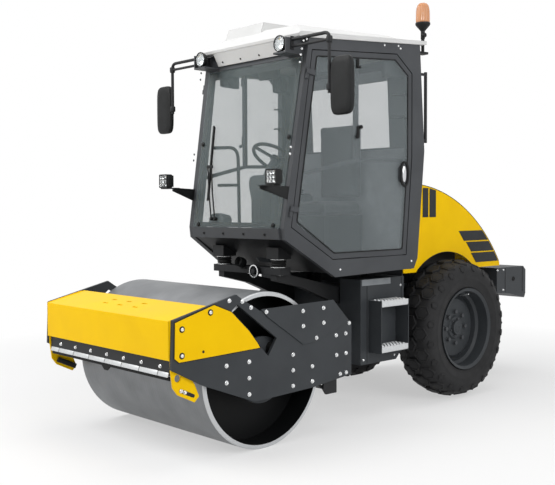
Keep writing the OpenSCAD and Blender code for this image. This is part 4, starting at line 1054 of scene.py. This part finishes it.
bm = bmesh.new()
block(bm, (.560, .860, .008), Matrix.Translation((.240, 0, 1.1128)), .003, 2)
for i in range(14):
    block(bm, (.500, .012, .004), Matrix.Translation((.240, -.390 + .06 * i, 1.118)), .0015, 2)
piece("floor_mat", bm, rubber, "rear")
bm = bmesh.new()
for y in (-.190, .190):
    pedal = plane((.640, y, 1.250), (0, 1, 0), (.6, 0, .8))
    plate(bm, rounded([(-.035, -.050), (.035, -.050), (.035, .050), (-.035, .050)], .012),
          0.0, .012, pedal, .003)
    tube(bm, bend([(.645, y, 1.245), (.690, y, 1.215), (.690, y, 1.170)], .03), .008, 10)
piece("pedals", bm, abs_black, "rear")
bm = bmesh.new()
tube(bm, bend([(.790, -.440, 1.955), (.560, -.440, 1.970), (.545, -.440, 1.115)], .09, 8),
     .013)
tube(bm, [(.760, -.435, 1.675), (.548, -.440, 1.680)], .012)
piece("inner_rail", bm, coat_black, "rear")
bm = bmesh.new()
block(bm, (.026, .210, .090), Matrix.Translation((.745, .120, 2.455))
      @ Matrix.Rotation(math.radians(8), 4, "Y"), .011, 4)
tube(bm, bend([(.740, .120, 2.495), (.730, .120, 2.560), (.700, .120, 2.604)], .03), .006, 10)
block(bm, (.010, .330, .120), Matrix.Translation((.735, -.240, 2.530))
      @ Matrix.Rotation(math.radians(14), 4, "Y"), .004)
piece("inner_mirror", bm, abs_black, "rear")

# Seat: padded cloth in the space of the two CAD blocks, with sewn channels.

def padded(name, node, crown, channels, across, profile_axis):
    """A cushion blown up from a smaller form by the cloth solver, then sewn and smoothed."""
    low, high = (Vector(c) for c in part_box(node))
    inset = Vector((.020, .020, .016))
    size, middle = high - low - 2 * inset, (high + low) / 2
    bm = bmesh.new()
    block(bm, size, Matrix.Translation(middle), min(size) * .34, 4)
    mesh = bpy.data.meshes.new(name)
    bm.to_mesh(mesh)
    bm.free()
    obj = bpy.data.objects.new(name, mesh)
    bpy.context.scene.collection.objects.link(obj)
    remesh = obj.modifiers.new("remesh", "REMESH")
    remesh.mode = "VOXEL"
    remesh.voxel_size = .008
    bpy.context.view_layer.update()
    deps = bpy.context.evaluated_depsgraph_get()
    obj.data = bpy.data.meshes.new_from_object(obj.evaluated_get(deps))
    obj.modifiers.clear()
    start = [v.co.copy() for v in obj.data.vertices]
    cloth = obj.modifiers.new("cloth", "CLOTH")
    cloth.settings.use_pressure = True
    cloth.settings.uniform_pressure_force = 4.0
    cloth.settings.effector_weights.gravity = 0.0
    cloth.settings.mass = 0.3
    cloth.point_cache.frame_start, cloth.point_cache.frame_end = 1, 20
    for step in range(1, 21):
        bpy.context.scene.frame_set(step)
    deps = bpy.context.evaluated_depsgraph_get()
    blown = bpy.data.meshes.new_from_object(obj.evaluated_get(deps))
    obj.modifiers.clear()
    obj.data = blown
    bpy.context.scene.frame_set(1)
    keep_low, keep_high = low + Vector((.002,) * 3), high - Vector((.002,) * 3)
    for vertex, before in zip(obj.data.vertices, start):
        step = vertex.co - before
        if step.length > .018:
            step *= .018 / step.length
        place = before + step
        along = [(place[i] - middle[i]) / (size[i] / 2 + inset[i]) for i in range(3)]
        rise = max(0.0, 1 - along[across] ** 2) * max(0.0, 1 - along[profile_axis] ** 2)
        thin = 3 - across - profile_axis
        place[thin] += crown * rise * (1 if along[thin] > 0 else 0)
        for spot in channels:
            gap = abs(along[across] - spot)
            if gap < .06 and along[thin] > 0:
                place[thin] -= .007 * (1 - gap / .06) ** 1.5
        vertex.co = Vector([min(max(place[i], keep_low[i]), keep_high[i]) for i in range(3)])
    smooth = obj.modifiers.new("smooth", "SUBSURF")
    smooth.levels = smooth.render_levels = 1
    bpy.context.view_layer.update()
    deps = bpy.context.evaluated_depsgraph_get()
    done = bpy.data.meshes.new_from_object(obj.evaluated_get(deps))
    bpy.data.objects.remove(obj, do_unlink=True)
    done.name = name
    done.polygons.foreach_set("use_smooth", [True] * len(done.polygons))
    made = show(name, done, seat_cloth, "rear")
    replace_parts(made, node)


padded("seat_cushion_pad", "seat_cushion", .008, (-.62, .62), 1, 0)
padded("seat_back_pad", "seat_backrest", .008, (-.58, .58), 1, 2)

# Steps: raised teeth on the treads, a folded lip in front of each.
tooth = bmesh.new()
lathe(tooth, [(.0055, 0), (.0125, 0), (.0112, .0045), (.0085, .0062), (.0062, .0045)],
      Matrix.Identity(4), 12, closed=True)
low, high = (Vector(c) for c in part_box("step_treads"))
places = []
for z in (.500, .830):
    for i in range(8):
        for j in range(3):
            x = low.x + .030 + (high.x - low.x - .060) * i / 7
            places += pair(x, high.y - .022 - .036 * j, z, "up")
repeat("tread_teeth", tooth, places, zinc, "rear")
bm = bmesh.new()
for z in (.500, .830):
    block(bm, (high.x - low.x - .004, .006, .044),
          Matrix.Translation(((high.x + low.x) / 2, high.y - .0032, z - .0215)), .002)
piece("tread_lips", bm, zinc, "rear", both=True)

# Side boxes: top flange, corner bolts and the line of the front cover's fold.
low, high = (Vector(c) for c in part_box("side_boxes"))
bm = bmesh.new()
flange = [(high.x - .330, .938), (high.x - .012, .938), (high.x - .010, .983),
          (high.x - .330, .983)]
plate(bm, [(-x, z) for x, z in reversed(flange)], .5332, .5372,
      plane((0, 0, 0), (-1, 0, 0), (0, 0, 1)), .001)
piece("box_flange", bm, lining, "rear", both=True)
places = []
for x, z in ((low.x + .040, .920), (high.x - .030, .400), (low.x + .110, .400)):
    places += pair(x, high.y, z, "left", .8)
repeat("side_box_bolts", hex_bolt(.015, .008, .011), places, zinc_bolt, "rear",
       1.0, 11)
bm = bmesh.new()
tube(bm, [(high.x - .070, high.y + .0005, .372), (high.x - .070, high.y + .0005, .980)],
     .0022, 8)
tube(bm, [(low.x + .030, high.y + .0005, .460), (low.x + .030, high.y + .0005, .980)],
     .0022, 8)
piece("side_box_seams", bm, rubber, "rear", both=True)

# Cab mounts: ribbed rubber between plated washers, with a smaller washer below the front pair.
bm = bmesh.new()
for x, y, base, top, radius in ((.82, .294, 1.0900, 1.1500, .055),
                                (-.12, .250, .9600, 1.0477, .030)):
    rise = top - base
    lathe(bm, [(0, 0), (radius, 0), (radius, .10 * rise), (radius * .86, .20 * rise),
               (radius, .34 * rise), (radius * .86, .50 * rise), (radius, .66 * rise),
               (radius * .86, .80 * rise), (radius, .90 * rise), (radius, rise), (0, rise)],
          Matrix.Translation((x, y, base)), 36)
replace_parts(piece("mount_bellows", bm, rubber, "rear", both=True), "cab_mounts")
washer = bmesh.new()
lathe(washer, [(0, 0), (.052, 0), (.055, .0015), (.055, .004), (.052, .0055), (0, .0055)],
      Matrix.Identity(4), 32)
places = []
for z in (1.0902, 1.1440):
    places += [(Matrix.Translation((.82, y, z)), 1.06) for y in (-.294, .294)]
places += [(Matrix.Translation((.82, y, 1.0345)), .5) for y in (-.294, .294)]
repeat("mount_washers", washer, places, zinc_bolt, "rear")

# Horn and a small lamp under the cab.
bm = bmesh.new()
horn = plane((.8703, .120, 1.060), (0, 1, 0), (0, 0, 1))
lathe(bm, [(0, .0005), (.028, .0005), (.0445, .012), (.0450, .026), (.0430, .030),
           (.0400, .030), (.0380, .020), (.0220, .016), (.0180, .040), (0, .042)], horn, 36)
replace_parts(piece("horn_dish", bm, coat_black, "rear"), "horn")
bm = bmesh.new()
lathe(bm, [(.0385, .0295), (.0455, .0285), (.0455, .0315), (.0385, .0325)], horn, 36,
      closed=True)
piece("horn_rim", bm, zinc_bolt, "rear")
bm = bmesh.new()
under = plane((.872, -.020, 1.110), (0, 1, 0), (-.3, 0, 1))
lathe(bm, [(0, -.004), (.030, -.004), (.036, .010), (.036, .052), (.033, .056), (.031, .050),
           (.024, .020), (0, .016)], under, 28)
block(bm, (.020, .060, .006), Matrix.Translation((.874, -.020, 1.074)), .002)
piece("under_cab_lamp", bm, abs_black, "rear")

# Tail box: round recess with its plug, lid line and bolts. Hood: edge trim and catches.
low, high = (Vector(c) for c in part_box("tail_box"))
bm = bmesh.new()
ring = at(low.x + .200, .480, .868, "left")
lathe(bm, [(.013, 0), (.021, 0), (.021, .003), (.018, .0045), (.013, .003)], ring, 28,
      closed=True)
lathe(bm, [(0, 0), (.011, 0), (.011, .0012), (0, .0016)], ring, 20)
tube(bm, [(low.x + .052, .4805, .745), (low.x + .052, .4805, .968)], .0022, 8)
tube(bm, [(low.x + .330, .4805, .760), (low.x + .330, .4805, .972)], .0022, 8)
piece("tail_box_plugs", bm, rubber, "rear", both=True)
places = []
for x, z in ((low.x + .36, .955), (low.x + .45, .955), (low.x + .36, .780)):
    places += pair(x, .480, z, "left", .8)
repeat("tail_box_bolts", hex_bolt(.015, .008, .011), places, zinc_bolt, "rear",
       1.0, 12)

bm = bmesh.new()
centre, radius = Vector((-.343, .168)), 1.5185
edge = []
for i in range(49):
    angle = math.radians(96 + 51 * i / 48)
    edge.append((centre.x + radius * math.cos(angle), .4995,
                 centre.y + radius * math.sin(angle)))
edge = [p for p in edge if p[0] > -1.590 and p[2] > 1.01]
tube(bm, edge, .0028, 8)
arc = []
for i in range(41):
    angle = math.radians(38 + 92 * i / 40)
    spot = (REAR + .6005 * math.cos(angle), .4995, WHEEL_Z + .6005 * math.sin(angle))
    if spot[0] < -.290 and spot[2] > 1.003:
        arc.append(spot)
tube(bm, arc, .0030, 8)
piece("hood_edge_trim", bm, rubber, "hood", both=True)
bm = bmesh.new()
for y in (-.300, .300):
    block(bm, (.012, .110, .032), Matrix.Translation((-1.5975, y, 1.055)), .005)
    block(bm, (.014, .050, .014), Matrix.Translation((-1.5960, y, 1.055)), .004)
piece("hood_catches", bm, abs_black, "hood")


# Stage, light and camera

def floor_material():
    """Pale studio floor: keeps the soft shadow and fades to white away from the machine."""
    material, tree, shader, place = new_material("studio_floor")
    shader.inputs["Base Color"].default_value = linear("#F0F0F0")
    shader.inputs["Roughness"].default_value = 0.9
    shader.inputs["Specular IOR Level"].default_value = 0.1
    speck = add(tree, "ShaderNodeTexNoise", {"Vector": place, "Scale": per_mm(400)})
    relief = add(tree, "ShaderNodeBump", {"Height": speck.outputs["Fac"], "Strength": 0.02})
    tree.links.new(relief.outputs["Normal"], shader.inputs["Normal"])
    glow = add(tree, "ShaderNodeEmission", {"Color": (1, 1, 1, 1), "Strength": 1.0})
    path = add(tree, "ShaderNodeLightPath")
    seen = add(tree, "ShaderNodeMath", {0: path.outputs["Is Camera Ray"],
                                        1: path.outputs["Is Transmission Ray"]},
               operation="MAXIMUM")
    seen = add(tree, "ShaderNodeMath", {0: seen.outputs[0], 1: path.outputs["Is Glossy Ray"]},
               operation="MAXIMUM")
    away = add(tree, "ShaderNodeVectorMath", {0: place}, operation="LENGTH")
    far = add(tree, "ShaderNodeMapRange",
              {"Value": away.outputs["Value"], "From Min": 2.2, "From Max": 5.0,
               "To Min": 0.5, "To Max": 1.0})
    share = add(tree, "ShaderNodeMath", {0: seen.outputs[0], 1: far.outputs["Result"]},
                operation="MULTIPLY")
    mixed = add(tree, "ShaderNodeMixShader", {0: share.outputs[0], 1: shader.outputs["BSDF"],
                                              2: glow.outputs["Emission"]})
    output = [n for n in tree.nodes if n.type == "OUTPUT_MATERIAL"][0]
    tree.links.new(mixed.outputs[0], output.inputs["Surface"])
    return material


def make_stage():
    mesh = bpy.data.meshes.new("floor")
    half = 60.0
    mesh.from_pydata([(-half, -half, 0), (half, -half, 0), (half, half, 0), (-half, half, 0)],
                     [], [(0, 1, 2, 3)])
    mesh.materials.append(floor_material())
    floor = bpy.data.objects.new("floor", mesh)
    bpy.context.scene.collection.objects.link(floor)

    world = bpy.data.worlds.new("studio")
    bpy.context.scene.world = world
    world.use_nodes = True
    tree = world.node_tree
    tree.nodes.clear()
    path = add(tree, "ShaderNodeLightPath")
    seen = add(tree, "ShaderNodeMath", {0: path.outputs["Is Camera Ray"],
                                        1: path.outputs["Is Transmission Ray"]},
               operation="MAXIMUM")
    seen = add(tree, "ShaderNodeMath", {0: seen.outputs[0], 1: path.outputs["Is Glossy Ray"]},
               operation="MAXIMUM")
    white = add(tree, "ShaderNodeBackground", {"Color": (1, 1, 1, 1), "Strength": 1.0})
    soft = add(tree, "ShaderNodeBackground", {"Color": (0.98, 0.99, 1.0, 1), "Strength": 0.36})
    mixed = add(tree, "ShaderNodeMixShader", {0: seen.outputs[0], 1: soft.outputs[0],
                                              2: white.outputs[0]})
    add(tree, "ShaderNodeOutputWorld", {"Surface": mixed.outputs[0]})


def soft_box(name, place, aim, size, watts):
    """A square studio lamp at a place, turned to the point that it lights."""
    data = bpy.data.lights.new(name, "AREA")
    data.shape = "SQUARE"
    data.size = size
    data.energy = watts
    lamp = bpy.data.objects.new(name, data)
    lamp.location = place
    lamp.rotation_euler = (Vector(aim) - Vector(place)).to_track_quat("-Z", "Y").to_euler()
    bpy.context.scene.collection.objects.link(lamp)


def make_camera():
    """The photograph's own view: seen from the front left, a little above the hood."""
    yaw, pitch, roll = (math.radians(a) for a in (227.02, -2.27, -0.22))
    ahead = Vector((math.cos(pitch) * math.cos(yaw), math.cos(pitch) * math.sin(yaw),
                    math.sin(pitch)))
    right = ahead.cross(Vector((0, 0, 1))).normalized()
    up = right.cross(ahead)
    right, up = (right * math.cos(roll) + up * math.sin(roll),
                 up * math.cos(roll) - right * math.sin(roll))
    data = bpy.data.cameras.new("camera")
    data.sensor_width = 36.0
    data.sensor_fit = "HORIZONTAL"
    data.lens = 56.6
    camera = bpy.data.objects.new("camera", data)
    turn = Matrix((right, up, -ahead)).transposed().to_4x4()
    camera.matrix_world = Matrix.Translation((4.937, 4.700, 1.503)) @ turn
    bpy.context.scene.collection.objects.link(camera)
    bpy.context.scene.camera = camera


make_stage()
soft_box("key_from_left", (5.5, -2.0, 6.0), (0.6, 0.0, 1.0), 4.0, 330)
soft_box("fill_at_side", (1.0, 7.5, 4.5), (0.0, 0.0, 1.0), 4.5, 240)
soft_box("top_light", (-0.5, 0.5, 7.5), (0.0, 0.0, 0.0), 5.0, 150)
make_camera()
bpy.context.scene.view_settings.view_transform = "Standard"
